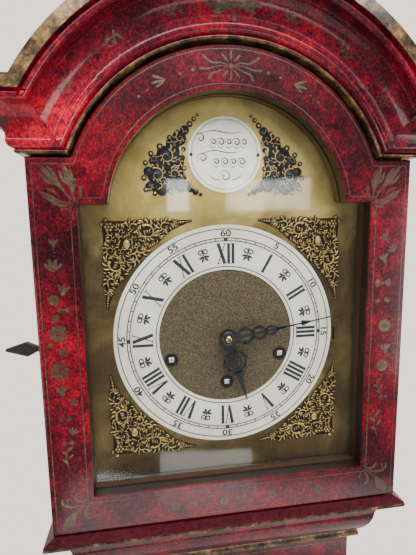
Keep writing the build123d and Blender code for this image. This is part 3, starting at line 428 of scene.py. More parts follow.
looks = {
    LACQUER: ["base_carcass", "base_panel", "trunk_carcass", "trunk_door", "hood_sides"],
    # The opening's reveal is painted near-black as shade.
    lacquer("door_lacquer", painted_shade_mask=opening_reveal): ["hood_door_frame"],
    plain("bead_paint", (0.060, 0.022, 0.012), 0.42, 0.0, 120.0): ["hood_glazing_beads"],
    # Painted light: the cornice's red is brightened 2.1 times, a lit copy of the lacquer.
    lacquer("cornice_lacquer", cornice_gilt, painted_light=2.1): ["hood_cornice"],
    # Gilt below, and a painted shade of dark wine on the top slope.
    lacquer("hood_base_lacquer", base_gilt, base_slope, (0.070, 0.006, 0.012)): ["hood_base"],
    lacquer("throat_lacquer", band_gilt(throat_high[2] - 59.0, throat_high[2] - 50.0)): ["throat_moulding"],
    lacquer("waist_lacquer", band_gilt(waist_low[2] + 2, waist_low[2] + 9)): ["waist_moulding"],
    lacquer("plinth_lacquer", band_gilt(plinth_high[2] - 16, plinth_high[2] - 6)): ["plinth"],
    wood("hood_roof_wood", (0.020, 0.008, 0.006), (0.070, 0.022, 0.014)): ["hood_roof"],
    DARK_WOOD: ["seatboard", "backboard"],
    plain("mask_bronze", (0.058, 0.042, 0.020), 0.42, 0.5, 60.0): ["hood_mask"],
    dial_brass(): ["dial_plate"],
    silvering("silvered_brass"): ["chapter_ring"],
    # Painted light: the boss's silvering is brightened 1.13 times, a lit copy of the ring's, making up for
    # the hood's shade.
    silvering("silvered_boss", 1.13, 0.0): ["dial_boss"],
    MOVEMENT_BRASS: ["movement_frame", "back_plate_brackets", "centre_arbor", "minute_wheel", "hour_wheel",
                     "great_wheel", "third_wheel", "escape_wheel", "strike_pulley", "time_pulley",
                     "chime_pulley"],
    brass("drum_brass", scale=140.0, stretch=(1, 3, 1)): ["strike_drum", "time_drum", "chime_drum"],
    POLISHED: ["strike_weight", "time_weight", "chime_weight", "pendulum_bob", "rating_nut",
               "chime_silent_lever"],
    brass("hinge_brass", (0.12, 0.08, 0.03), (0.42, 0.31, 0.13)): [
        "trunk_hinge_leaves", "trunk_door_hinge_leaves", "hood_hinge_leaves", "hood_door_hinge_leaves",
        "trunk_lock", "hood_lock"],
    STEEL: ["pallet_anchor", "chime_rods", "chime_hammers", "trunk_lock_bolt", "hood_lock_bolt",
            "strike_cable", "time_cable", "chime_cable"],
    wood("rod_wood", (0.16, 0.09, 0.045), (0.33, 0.20, 0.10), (12, 12, 0.6)): ["pendulum_rod"],
    plain("collet_black", (0.020, 0.018, 0.016), 0.32, 0.6): ["winding_collets"],
    plain("key_bronze", (0.060, 0.045, 0.036), 0.34, 0.8): ["hood_key"],
    clear_glass(): ["hood_door_glass"],
}
for mat, names in looks.items():
    for name in names:
        mesh = nodes[name].data
        mesh.materials.clear()
        mesh.materials.append(mat)


# ---------------------------------------------------------------- mesh helpers
def add_mesh(name, verts, faces, mat, body, smooth=False):
    mesh = bpy.data.meshes.new(name)
    mesh.from_pydata([(x * MM, y * MM, z * MM) for x, y, z in verts], [], faces)
    mesh.validate()
    mesh.materials.append(mat)
    obj = bpy.data.objects.new(name, mesh)
    bpy.context.scene.collection.objects.link(obj)
    if smooth:
        mesh.shade_smooth()
    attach(obj, body)
    return obj


def quads(first, n, rings):
    """Faces between closed rings of n points that follow one another from point first."""
    faces = []
    for k in range(rings - 1):
        for i in range(n):
            a, b = first + k * n + i, first + k * n + (i + 1) % n
            faces.append((a, b, b + n, a + n))
    return faces


def curve(points, steps=6):
    """A smooth path through 2-D points."""
    if len(points) < 3:
        return [tuple(points[0]), tuple(points[-1])] if len(points) == 2 else points
    path = []
    full = [points[0]] + list(points) + [points[-1]]
    for a, b, c, d in zip(full, full[1:], full[2:], full[3:]):
        for i in range(steps):
            t = i / steps
            path.append(tuple(0.5 * (2 * q + (r - p) * t + (2 * p - 5 * q + 4 * r - s) * t * t +
                                     (3 * q - p - 3 * r + s) * t ** 3) for p, q, r, s in zip(a, b, c, d)))
    path.append(tuple(points[-1]))
    return path


def step(x, z, r, angle):
    """The point r away from (x, z), at an angle in degrees, counted from +X towards +Z."""
    return x + r * cos(radians(angle)), z + r * sin(radians(angle))


def arc(cx, cz, r, start, end, steps=24):
    """Points on a circle, from start to end in degrees."""
    return [step(cx, cz, r, start + (end - start) * i / steps) for i in range(steps + 1)]


def oval(x, z, rx, rz, n):
    """The corners of an oval with n sides."""
    return [(x + rx * cos(2 * pi * i / n), z + rz * sin(2 * pi * i / n)) for i in range(n)]


def spiral(cx, cz, r, start, turn, shrink=0.18, steps=22):
    """A scroll that winds in from radius r to shrink times r, through turn degrees."""
    points = []
    for i in range(steps + 1):
        t = i / steps
        points.append(step(cx, cz, r * (1 - (1 - shrink) * t ** 0.85), start + turn * t))
    return points


def leaf_width(t):
    return max(0.06, sin(pi * t ** 1.35) ** 0.8)


def even(t):
    return 1.0


def taper(t):
    return 1.0 - 0.85 * t


def swell(t):
    return 0.25 + 0.75 * sin(pi * min(1, t * 1.02))


def club_width(t):
    """Thin stem, then a blade with a round end."""
    if t < 0.8:
        return 0.26 + 0.74 * max(0.0, (t - 0.25) / 0.55) ** 1.2
    return sqrt(max(0.02, 1 - ((t - 0.8) / 0.21) ** 2))


def lobe_width(t):
    """Thin stem, then a blade that runs out to a point."""
    if t < 0.62:
        return 0.2 + 0.8 * max(0.0, (t - 0.22) / 0.40) ** 1.2
    return max(0.04, 1 - ((t - 0.62) / 0.38) ** 1.2)


class Strips:
    """Flat or raised strips laid on a surface. place(x, z, lift) gives each point in the row frame."""

    def __init__(self, place, thick=0.12):
        self.place = place
        self.thick = thick
        self.verts, self.faces = [], []
        self.layer = 0

    def next_lift(self):
        """Strokes that cross lie at slightly different heights."""
        self.layer = (self.layer + 1) % 5
        return self.thick + 0.012 * self.layer

    def sides(self, points, width, shape):
        out = []
        n = len(points) - 1
        for i, (x, z) in enumerate(points):
            ax, az = points[max(i - 1, 0)]
            bx, bz = points[min(i + 1, n)]
            size = hypot(bx - ax, bz - az) or 1.0
            nx, nz = -(bz - az) / size, (bx - ax) / size
            half = width / 2 * shape(i / n)
            out.append(((x + nx * half, z + nz * half), (x - nx * half, z - nz * half)))
        return out

    def strip(self, points, width, shape=even):
        """A thin painted strip."""
        lift = self.next_lift()
        first = len(self.verts)
        for left, right in self.sides(points, width, shape):
            self.verts += [self.place(*left, lift), self.place(*right, lift)]
        for i in range(len(points) - 1):
            a = first + 2 * i
            self.faces.append((a, a + 1, a + 3, a + 2))

    def ridge(self, points, width, height, shape=even, base=0.0):
        """A raised strip with a rounded back."""
        first = len(self.verts)
        n = len(points) - 1
        for i, ((lx, lz), (rx, rz)) in enumerate(self.sides(points, width, shape)):
            h = base + height * (0.35 + 0.65 * shape(i / n))
            for share, up in ((0.0, base), (0.2, base + 0.62 * (h - base)), (0.5, h),
                              (0.8, base + 0.62 * (h - base)), (1.0, base)):
                self.verts.append(self.place(lx + (rx - lx) * share, lz + (rz - lz) * share, up))
        for i in range(n):
            for k in range(4):
                a = first + 5 * i + k
                self.faces.append((a, a + 1, a + 6, a + 5))

    def bar(self, points, width, depth, shape=even, base=0.0):
        """A flat-backed strip of metal, depth thick."""
        first = len(self.verts)
        for left, right in self.sides(points, width, shape):
            self.verts += [self.place(*left, base), self.place(*left, base + depth),
                           self.place(*right, base + depth), self.place(*right, base)]
        self.faces += quads(first, 4, len(points))
        last = first + 4 * (len(points) - 1)
        self.faces += [(first + 3, first + 2, first + 1, first), (last, last + 1, last + 2, last + 3)]

    def plate(self, outline, height, base=0.0):
        """A flat plate cut to an outline."""
        first, n = len(self.verts), len(outline)
        self.verts += [self.place(x, z, base) for x, z in outline]
        self.verts += [self.place(x, z, base + height) for x, z in outline]
        self.faces.append(tuple(first + n + i for i in range(n)))
        self.faces.append(tuple(first + n - 1 - i for i in range(n)))
        self.faces += quads(first, n, 2)

    def disc(self, x, z, r, n=20):
        lift = self.next_lift()
        first = len(self.verts)
        self.verts += [self.place(*point, lift) for point in oval(x, z, r, r, n)]
        self.faces.append(tuple(range(first, first + n)))

    def dome(self, x, z, rx, rz, height, base=0.0, n=16, rings=4):
        first = len(self.verts)
        for k in range(rings):
            a = pi / 2 * k / rings
            ring = oval(x, z, rx * cos(a), rz * cos(a), n)
            self.verts += [self.place(*point, base + height * sin(a)) for point in ring]
        self.verts.append(self.place(x, z, base + height))
        self.faces += quads(first, n, rings)
        top = first + rings * n
        for i in range(n):
            self.faces.append((top - n + i, top - n + (i + 1) % n, top))

    # painted motifs
    def leaf(self, x, z, length, angle, width, bend=0.0):
        mid = step(*step(x, z, length * 0.5, angle), bend, angle + 90)
        self.strip(curve([(x, z), mid, step(x, z, length, angle)], 5), width, leaf_width)

    def fan(self, x, z, rays, width=5.0):
        """Leaves on thin stalks that spring from one point: each ray is an angle and a length."""
        for angle, length in rays:
            start = step(x, z, 0.4 * length, angle)
            self.strip([(x, z), start], 0.9)
            self.leaf(*start, 0.6 * length, angle, width, 1.0)
            for side in (-1, 1):
                self.leaf(*step(x, z, 0.5 * length, angle), 0.26 * length, angle + side * 24, width * 0.45)

    def daisy(self, x, z, r, petals=11):
        for i in range(petals):
            a = 360 * i / petals + 8
            self.leaf(*step(x, z, 0.22 * r, a), 0.78 * r, a, 0.42 * r)
        self.disc(x, z, 0.2 * r, 10)

    def frond(self, x, z, tx, tz, width, bend, kind):
        """A leaf on a thin stem: it swells towards a round end, or has lobes and a point."""
        size = hypot(tx, tz)
        ux, uz = tx / size, tz / size

        def at(along, across):
            return x + ux * along * size - uz * across, z + uz * along * size + ux * across
        if kind == "club":
            self.strip(curve([at(0.1, 0), at(0.55, -bend), at(1.0, bend)], 9), width, club_width)
        else:
            self.strip(curve([at(0.1, 0), at(0.5, -bend), at(1.0, 0)], 9), width, lobe_width)
            for side in (-1, 1):
                self.strip(curve([at(0.48, side * 0.18 * width), at(0.62, side * 0.62 * width),
                                  at(0.84, side * 0.72 * width)], 5),
                           0.42 * width, leaf_width)

    def bell(self, x, z, size, angle):
        """A tulip: three pointed petals on a short stalk."""
        for turn, reach in ((-34, 0.9), (0, 0.8), (34, 0.9)):
            self.leaf(x, z, size * reach, angle + turn, size * 0.3, 0.6)
        self.strip([(x, z), step(x, z, -0.5 * size, angle)], 0.7)
        self.disc(x, z, size * 0.2, 10)

    def flare(self, x, z, size):
        """A wide flower seen from the side: fine petals fan out right and left."""
        for i in range(7):
            spread = -36 + 12 * i
            self.leaf(x + 0.15 * size, z, size * (1 - 0.004 * abs(spread)), spread, size * 0.16)
            self.leaf(x - 0.15 * size, z, size * (1 - 0.004 * abs(spread)), 180 - spread, size * 0.16)
        self.disc(x, z, size * 0.16, 10)

    def motif(self, what, x, z, size, angle):
        if what == "daisy":
            self.daisy(x, z, size, 12)
        elif what == "bell":
            self.bell(x, z, size, angle)
        elif what == "fan":
            self.flare(x, z, size)
        elif what == "sprig":
            self.sprig(x, z, size, angle)
        else:
            self.tuft(x, z, size, angle, 4)

    def tuft(self, x, z, size, angle=90.0, blades=3):
        for i in range(blades):
            spread = (i - (blades - 1) / 2) * 30
            self.leaf(x, z, size * (1 - 0.12 * abs(i - (blades - 1) / 2)), angle + spread, size * 0.26, 0.0)

    def sprig(self, x, z, size, angle=90.0):
        mid = step(x, z, 0.5 * size, angle + degrees(0.15))
        self.strip(curve([(x, z), mid, step(x, z, size, angle)], 5), 0.8)
        for share, side in ((0.25, 1), (0.45, -1), (0.65, 1), (0.85, -1)):
            self.leaf(*step(x, z, share * size, angle), 0.32 * size, angle + side * 48, 0.13 * size)

    def make(self, name, mat, body, smooth=False):
        return add_mesh(name, self.verts, self.faces, mat, body, smooth)


def on_plane(y, cz=0.0):
    """A plane that faces the front, at y, with heights counted from cz."""
    return lambda x, z, lift: (x, y - lift, cz + z)


def on_front(names, cz=0.0, reach=400.0):
    """The front surface of some nodes, found by looking along +Y."""
    trees = [BVHTree.FromObject(nodes[n], bpy.context.evaluated_depsgraph_get()) for n in names]

    def place(x, z, lift):
        best = None
        for tree in trees:
            hit = tree.ray_cast(Vector((x * MM, -reach * MM, (cz + z) * MM)), Vector((0, 1, 0)))[0]
            if hit is not None and (best is None or hit.y < best):
                best = hit.y
        return x, (best / MM if best is not None else FRONT) - lift, cz + z
    return place


def on_side(side, x0, cz=0.0):
    """A plane on the clock's left (-1) or right (1), with the first coordinate running front to back."""
    return lambda y, z, lift: (side * (x0 + lift), y, cz + z)


# ---------------------------------------------------------------- painting on the case
def door_painting():
    paint = Strips(on_front(["hood_door_frame"], DIAL_Z))
    arch = ARCH_Z - DIAL_Z

    def lining(half, low, foot, r, width):
        spring = degrees(asin((foot - arch) / r))
        line = [(half, low), (half, foot)]
        line += arc(0, arch, r, spring, 180 - spring, 60) + [(-half, foot), (-half, low)]
        for a, b in zip(line, line[1:] + line[:1]):
            paint.strip([a, b], width)

    lining(HOOD_HALF - 5.0, -172.5, 168.0, 145.0, 0.8)
    lining(142.3, -147.0, 139.6, 116.4, 0.8)
    paint.strip([(-171.8, 168.2), (-150.0, 168.2)], 1.3)
    paint.strip([(-171.8, 168.2), (-171.8, 138.0)], 1.3)

    for side in (-1, 1):
        # palm sprays from the upper corners of the opening
        x, z = 137.6, 134.2
        for tx, tz, width, bend, kind in ((-6, 15, 3.0, -1.5, "club"), (1, 22, 4.8, 1.2, "club"),
                                          (9, 35, 6.2, -1, "lobed"), (30, 35, 6.4, -1, "lobed"),
                                          (30, 12, 5.6, 3, "lobed"), (20, 2, 4.8, 2, "club"),
                                          (12, -5, 2.4, 1, "club"), (3, -14, 1.6, -1, "club")):
            paint.frond(side * x, z, side * tx, tz, width, bend * side, kind)
        # hooked leaves and one broad leaf from the lower corners
        x, z = 136.5, -138.5
        for points, width, shape in (
                ([(3, -2), (9, -5.5), (15, -4.5), (18.5, 1.5)], 2.6, leaf_width),
                ([(6, -4), (14, -9.5), (24, -10), (29, -6), (29, -1)], 3.2, leaf_width),
                ([(5, -6), (12, -12), (18, -17)], 1.2, even),
                ([(16, -15), (20, -20), (25, -27), (31, -34)], 8.0, leaf_width),
                ([(20, -22), (25, -22), (29, -26)], 3.0, leaf_width),
                ([(19, -20), (20, -27), (24, -32)], 3.0, leaf_width),
                ([(3, -8), (8, -14), (8.5, -21), (3.5, -26)], 3.4, leaf_width),
                ([(1, -7), (0, -12), (-1.5, -16)], 1.8, leaf_width),
                ([(24, -8), (25, -4), (23, -1)], 1.6, leaf_width)):
            paint.strip(curve([(side * (x + a), z + b) for a, b in points], 6), width, shape)

    # the chains of flowers down the stiles
    right = (("bell", 155, 98, 9, 120), ("tuft", 164, 86, 9, 125), ("bell", 154, 77, 9, 105),
             ("fan", 153, 55, 8, 0), ("tuft", 149, 35, 5, 110), ("tuft", 156, 36, 6, 40),
             ("daisy", 157, 11, 7, 0), ("bell", 159, -16, 10, 90), ("daisy", 156, -31, 6.5, 0),
             ("sprig", 158, -64, 18, 115), ("fan", 159, -65, 4.5, 0), ("sprig", 154, -108, 26, 98))
    left = (("bell", -158, 99, 8, 85), ("tuft", -160, 76, 13, 88), ("bell", -153, 57, 10, 75),
            ("daisy", -161, 51, 5, 0), ("fan", -153, 42, 5, 0), ("tuft", -158, 33, 7, 150),
            ("daisy", -159, 21, 8, 0), ("tuft", -165, 8, 5, 120), ("daisy", -156, 3, 4, 0),
            ("daisy", -160, -14, 8.5, 0), ("bell", -159, -36, 10, 90), ("tuft", -152, -47, 8, 50),
            ("fan", -158, -60, 5, 0), ("tuft", -153, -76, 8, 70), ("fan", -157, -84, 5, 0),
            ("sprig", -158, -109, 20, 90))
    for what, x, z, size, angle in right + left:
        paint.motif(what, x, z, size, angle)
    for x, zs in ((153.5, (70, 66, 25)), (156, (0, -3, -42, -46)),
                  (-158, (93, 90, 68, 28, -25, -28, -53, -69))):
        for z in zs:
            paint.disc(x, z, 0.7, 8)
    for i in range(12):
        x, z = -92 + 16.5 * i, -160.0 + 1.4 * sin(2.1 * i)
        paint.motif(("fan", "sprig", "daisy")[i % 3], x, z, (5.0, 10.0, 5.0)[i % 3], 75 + 30 * sin(3.0 * i))

    # the arch: a dot with whiskers, then dots and sprigs along the curve
    z = 252.0
    paint.disc(0, z, 2.0, 16)
    for side in (-1, 1):
        for points, width in (([(3, 0.6), (9, 2.4), (17, 2.2), (25, 7.5)], 2.0),
                              ([(3, 0), (12, -0.6), (20, -3.0), (28, -3.2)], 1.8),
                              ([(3, -0.6), (10, -4.4), (17, -7.0), (20, -12)], 2.0)):
            paint.strip(curve([(side * a, z + b) for a, b in points], 6), width,
                        lambda t: 0.3 + 0.7 * min(1, 1.15 * t))
        for angle in (48, -50):
            paint.leaf(side * 3 * cos(radians(angle)), z + 3.4 * sin(radians(angle)), 9.5,
                       90 - side * (90 - angle), 2.0)
        for angle, what in ((15, 1.6), (20, 1.3), (26, "sprig"), (34, 0.9), (38, 1.3)):
            a = radians(angle)
            x, up = side * 130.8 * sin(a), arch + 130.8 * cos(a)
            if what == "sprig":
                for turn, length in ((24, 11), (0, 13), (-30, 12)):
                    paint.leaf(x, up, length, 90 - side * (90 + angle + turn - 10), 2.2)
            else:
                paint.disc(x, up, what, 12)
    for angle in (90, -90):
        paint.leaf(0, z + 3.4 * sin(radians(angle)), 9.5, angle, 1.8)
    paint.make("hood_door_gilding", GOLD, "hood_door")


def cornice_painting():
    paint = Strips(on_front(["hood_cornice"], ARCH_Z))
    mid = CORNICE_R + 22
    for side in (-1, 1):
        for angle in (34, 52, 70, 84):
            x, z = step(0, 0, mid, angle)
            x *= side
            lean = angle + 90 if side > 0 else 90 - angle
            paint.sprig(x, z, 16, lean)
            paint.strip(spiral(x - side * 4, z + 4, 5.5, lean, 300 * side), 1.1, taper)
        z = SHOULDER_Z - ARCH_Z
        paint.strip(spiral(side * 196, z + 25, 7.5, 90 - 60 * side, 330 * side), 1.3, taper)
        paint.strip(spiral(side * 182, z + 21, 6.0, 90 + 70 * side, -320 * side), 1.2, taper)
        paint.tuft(side * 188, z + 20, 9, 90, 5)
    paint.disc(0, mid, 2.4, 12)
    for angle, length in ((0, 22), (16, 18), (-14, 17), (180, 22), (164, 18), (194, 17), (90, 8), (-90, 9),
                          (50, 10), (130, 10)):
        paint.leaf(*step(0, mid, 2.5, angle), length, angle, 3.4, 1.2)
    for side in (-1, 1):
        paint.strip(spiral(side * 30, mid - 3, 6, 90 + 60 * side, -330 * side), 1.1, taper)
    paint.make("cornice_gilding", GOLD, "hood")


def frame_line(paint, x0, x1, z0, z1, width=0.9):
    for a, b in (((x0, z0), (x1, z0)), ((x1, z0), (x1, z1)), ((x1, z1), (x0, z1)), ((x0, z1), (x0, z0))):
        paint.strip([a, b], width)


def bouquet(paint, x, z, size):
    """A vase-less spray of flowers, the largest motif on the case."""
    paint.strip(curve([(x, z - size), (x - 0.10 * size, z - 0.4 * size), (x + 0.05 * size, z + 0.2 * size),
                       (x, z + 0.7 * size)], 8), 1.4)
    for side in (-1, 1):
        for share, reach in ((-0.7, 0.45), (-0.35, 0.55), (0.0, 0.48), (0.35, 0.38)):
            a = (x, z + share * size)
            b = (x + side * 0.5 * reach * size, z + (share + 0.10) * size)
            c = (x + side * reach * size, z + (share + 0.32) * size)
            paint.strip(curve([a, b, c], 6), 1.0)
            paint.leaf(*b, 0.16 * size, 90 - side * 60, 0.055 * size, 1)
            paint.leaf(*b, 0.15 * size, 90 - side * 130, 0.05 * size, 1)
            paint.daisy(*c, 0.085 * size if share < 0.2 else 0.065 * size)
    paint.daisy(x, z + 0.74 * size, 0.13 * size, 13)
    paint.tuft(x, z - size, 0.2 * size, -90, 5)


def case_painting():
    paint = Strips(on_front(["trunk_door"], 0.0))
    low, high = edges("trunk_door")
    half, arch_z, r = high[0] - 12, high[2] - 78.0, 66.0
    foot = high[2] - 78 + 16 - 12
    spring = degrees(asin((foot - arch_z) / r))
    line = [(half, low[2] + 12), (half, foot)] + arc(0, arch_z, r, spring, 180 - spring, 40)
    line += [(-half, foot), (-half, low[2] + 12), (half, low[2] + 12)]
    for a, b in zip(line, line[1:]):
        paint.strip([a, b], 1.0)
    bouquet(paint, 0, 1060, 120)
    bouquet(paint, 0, 760, 115)
    for z in (905, 925, 622, 640, 1195):
        paint.daisy(14 * sin(z), z, 8)
    paint.sprig(-40, 900, 36, 60)
    paint.sprig(42, 905, 34, 120)
    paint.make("trunk_door_gilding", GOLD, "trunk_door")

    paint = Strips(on_front(["trunk_carcass"], 0.0))
    trunk_half = edges("trunk_carcass")[1][0]
    top, bottom = throat_low[2] - 8, waist_high[2] + 8
    frame_line(paint, -trunk_half + 6, trunk_half - 6, bottom, top)
    for side in (-1, 1):
        for i in range(20):
            z = bottom + 30 + i * (top - bottom - 60) / 19
            if i % 3 == 0:
                paint.daisy(side * 121, z, 7)
            elif i % 3 == 1:
                paint.sprig(side * 121, z - 8, 17, 90 + 12 * sin(i))
            else:
                paint.tuft(side * 121, z - 4, 11, 90, 4)
    paint.make("trunk_gilding", GOLD, "case")

    paint = Strips(on_front(["base_panel"], 0.0))
    low, high = edges("base_panel")
    frame_line(paint, low[0] + 14, high[0] - 14, low[2] + 14, high[2] - 14)
    bouquet(paint, 0, (low[2] + high[2]) / 2 + 4, 92)
    for side in (-1, 1):
        for up in (-1, 1):
            rays = [(180 - (90 - 90 * side) + k * side * up, n) for k, n in ((20, 24), (45, 30), (70, 24))]
            paint.fan(side * (high[0] - 18), (low[2] + high[2]) / 2 + up * 118, rays, 5)
    paint.make("base_panel_gilding", GOLD, "case")

    paint = Strips(on_front(["base_carcass"], 0.0))
    low, high = edges("base_carcass")
    frame_line(paint, -HOOD_HALF + 7, HOOD_HALF - 7, plinth_high[2] + 7, waist_low[2] - 7)
    for side in (-1, 1):
        for i in range(8):
            z = 130 + 40 * i
            paint.daisy(side * 147, z, 7) if i % 2 else paint.sprig(side * 147, z - 9, 18, 90)
    paint.make("base_gilding", GOLD, "case")

    hood_foot = edges("hood_sides")[0][2]
    for side, word in ((-1, "left"), (1, "right")):
        for part, node, out, bottom, top, inset, shift, heights, size, body in (
                ("hood", "hood_sides", HOOD_HALF, hood_foot, SHOULDER_Z, 8, 12,
                 ((hood_foot + SHOULDER_Z) / 2 + 10,), 96, "hood"),
                ("trunk", "trunk_carcass", trunk_half, waist_high[2], throat_low[2], 8, 0, (680, 930, 1170),
                 88, "case"),
                ("base", "base_carcass", HOOD_HALF, plinth_high[2], waist_low[2], 10, 0, (285,), 104,
                 "case")):
            low, high = edges(node)
            paint = Strips(on_side(side, out))
            frame_line(paint, low[1] + inset, high[1] - inset, bottom + 8, top - 8)
            for z in heights:
                bouquet(paint, (low[1] + high[1]) / 2 + shift, z, size)
            paint.make(part + "_side_gilding_" + word, GOLD, body)


# ---------------------------------------------------------------- chapter ring
def polar(r, angle):
    """A point at r from the dial centre, angle clockwise from twelve."""
    return r * sin(radians(angle)), r * cos(radians(angle))


class Stamp:
    """Draws in a small frame set at r, angle on the dial, with its top pointing outwards."""

    def __init__(self, strips, r, angle):
        self.strips, self.r, self.a = strips, r, radians(angle)

    def at(self, x, z):
        rr = self.r + z
        return rr * sin(self.a) + x * cos(self.a), rr * cos(self.a) - x * sin(self.a)

    def line(self, points, width, shape=even):
        self.strips.strip([self.at(*p) for p in points], width, shape)

    def dot(self, x, z, r):
        self.strips.disc(*self.at(x, z), r, 12)


NUMERALS = ["I", "II", "III", "IIII", "V", "VI", "VII", "VIII", "IX", "X", "XI", "XII"]
LETTER_WIDTH = {"I": 4.5, "V": 9.8, "X": 10.2}


def roman(strips, text, angle):
    stamp = Stamp(strips, 86.0, angle)
    top = 10.0
    total = sum(LETTER_WIDTH[c] for c in text)
    x = -total / 2
    for c in text:
        w = LETTER_WIDTH[c]
        mid = x + w / 2
        if c == "I":
            stamp.line([(mid, -top), (mid, top)], 2.9)
            for z in (-top, top):
                stamp.line([(mid - 2.1, z), (mid + 2.1, z)], 0.7)
        elif c == "V":
            stamp.line([(mid - 3.1, top), (mid + 0.2, -top)], 3.5, lambda t: 1 - 0.35 * t)
            stamp.line([(mid + 3.5, top), (mid + 0.3, -top)], 0.95)
            stamp.line([(mid - 4.8, top), (mid - 1.2, top)], 0.7)
            stamp.line([(mid + 2.2, top), (mid + 4.8, top)], 0.7)
        else:
            stamp.line([(mid - 3.3, top), (mid + 3.3, -top)], 3.4)
            stamp.line([(mid + 3.4, top), (mid - 3.4, -top)], 0.95)
            for z in (-top, top):
                stamp.line([(mid - 4.8, z), (mid - 1.4, z)], 0.7)
                stamp.line([(mid + 1.4, z), (mid + 4.8, z)], 0.7)
        x += w


def fleur(strips, angle):
    stamp = Stamp(strips, 86.5, angle)
    for side in (-1, 1):
        turns = [radians(a) for a in range(-150, 211, 24)]
        loop = [(side * (2.5 + 2.1 * cos(a)), 4.3 + 2.1 * sin(a)) for a in turns]
        stamp.line(loop, 1.3)
        stamp.line(curve([(side * 0.4, 0.2), (side * 2.2, -0.6), (side * 5.6, -1.6)]), 2.5, leaf_width)
        stamp.line(curve([(side * 0.4, -0.2), (side * 1.4, -2.8), (side * 3.6, -5.6)]), 2.3, leaf_width)
    stamp.line([(0, 6.6), (0, 0)], 0.9)
    stamp.line([(0, -0.5), (0, -6.4)], 2.4, leaf_width)
    stamp.dot(0, 6.9, 0.8)
    stamp.dot(0, 0.4, 0.9)


def digits(text, r, angle, size):
    """An Arabic numeral on the ring, with its top outwards."""
    data = bpy.data.curves.new("minute_" + text, "FONT")
    data.body = text
    data.size = size * MM * 1.38
    data.align_x = data.align_y = "CENTER"
    data.extrude = 0.00006
    data.offset = 0.0002
    obj = bpy.data.objects.new("minute_" + text, data)
    bpy.context.scene.collection.objects.link(obj)
    x, z = polar(r, angle)
    obj.location = (x * MM, (RING_Y - 0.10) * MM, (DIAL_Z + z) * MM)
    obj.rotation_euler = Euler((radians(90), radians(angle), 0), "XYZ")
    obj.scale.x = 1.25
    obj.data.materials.append(INK)
    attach(obj, "case")


def ring_printing():
    ink = Strips(on_plane(RING_Y, DIAL_Z), 0.06)
    for r, width in ((110.7, 1.0), (101.7, 1.05), (98.9, 1.05), (72.8, 1.0)):
        ink.strip(arc(0, 0, r, 0, 360, 180), width)
    for minute in range(60):
        angle = 6 * minute
        stamp = Stamp(ink, 100.3, angle)
        if minute % 5:
            stamp.line([(0, -1.4), (0, 1.4)], 0.85)
        elif minute % 15:
            stamp.line([(0, -2.6), (0, 1.9)], 2.6, lambda t: max(0.05, 1 - abs(2 * t - 1.1)))
            stamp.line([(-1.6, 0), (1.6, 0)], 1.2, lambda t: max(0.05, 1 - abs(2 * t - 1)))
        else:
            stamp.dot(0, 0, 2.2)
    for i, text in enumerate(NUMERALS):
        roman(ink, text, 30 * (i + 1))
        fleur(ink, 30 * i + 15)
    ink.make("chapter_ring_engraving", INK, "case")
    for i in range(1, 13):
        digits(str(5 * i), 106.2, 30 * i, 6.5)


# ---------------------------------------------------------------- boss
def boss_engraving():
    ink = Strips(on_plane(BOSS_Y, BOSS_Z), 0.05)
    ink.strip(arc(0, 0, 33.4, 0, 360, 90), 0.4)
    ink.strip(arc(0, 0, 32.4, 0, 360, 90), 0.22)
    for z, half, waves, size in ((12.0, 23.0, 6, 4.6), (-6.5, 21.0, 5, 4.4)):
        step = 2 * half / waves
        ink.strip(spiral(-half - 1.0, z + 3.4, 5.6, 200, -470, 0.14, 34), 1.2, swell)
        for k in range(1, waves):
            x = -half + step * (k + 0.5)
            ink.strip(spiral(x, z, size * (1.0 - 0.22 * (k % 2)), 205, -500, 0.16, 34), 1.3, swell)
            ink.strip(curve([(x - size * 0.9, z - size * 0.42), (x - 0.1 * step, z - size * 1.2),
                             (x + step * 0.36, z - size * 0.8)], 6), 0.75, swell)
        ink.strip(curve([(-half - 2, z + 7.5), (-half * 0.5, z + 10.4), (half * 0.2, z + 8.4),
                         (half * 0.75, z + 9.8)], 8), 1.0, swell)
    ink.strip(spiral(0, -20.5, 6.2, 150, -430, 0.2, 34), 1.1, swell)
    for side in (-1, 1):
        ink.strip(curve([(side * 4, -24), (side * 11, -23), (side * 17, -19)], 6), 0.9, swell)
    ink.make("boss_engraving", INK, "case")
    rivets = Strips(on_plane(BOSS_Y, BOSS_Z))
    for side in (-1, 1):
        rivets.dome(side * 33.3, 0, 1.7, 1.7, 0.7)
    rivets.make("boss_rivets", INK, "case", True)


# ---------------------------------------------------------------- spandrels
def mirrored_copies(build, name, mat, corners):
    """One casting, drawn once and mirrored to its other places on the dial."""
    strips = build()
    made = []
    for word, sx, sz in corners:
        verts = [(sx * x, y, DIAL_Z + sz * (z - DIAL_Z)) for x, y, z in strips.verts]
        faces = [tuple(reversed(f)) if sx * sz < 0 else f for f in strips.faces]
        made.append(add_mesh(name + "_" + word, verts, faces, mat, "case", True))
    return made


def cast(work, points, width, height, shape, base):
    """One raised stroke of a casting, with a wider dark web under it."""
    work.bar(points, width + 1.7, base, lambda t: max(shape(t), 0.45))
    work.ridge(points, width, height, shape, base)


def acanthus(add, cx, cz, r, start, turn, width, leaves, length):
    """A scroll that winds into its centre, with leaves springing from its outer side."""
    path = spiral(cx, cz, r, start, turn, 0.14, 34)
    add(path, width, taper)
    for k in range(leaves):
        i = int((0.03 + 0.62 * k / leaves) * (len(path) - 1))
        (x, z), (nx, nz) = path[i], path[i + 1]
        ox, oz = (x - cx) / hypot(x - cx, z - cz), (z - cz) / hypot(x - cx, z - cz)
        step = hypot(nx - x, nz - z)
        tx, tz = (nx - x) / step, (nz - z) / step
        size = length * (1 - 0.45 * k / leaves)
        add(curve([(x, z), (x + size * (0.5 * ox - 0.1 * tx), z + size * (0.5 * oz - 0.1 * tz)),
                   (x + size * (0.8 * ox - 0.6 * tx), z + size * (0.8 * oz - 0.6 * tz))], 4), 0.42 * size,
                   leaf_width)


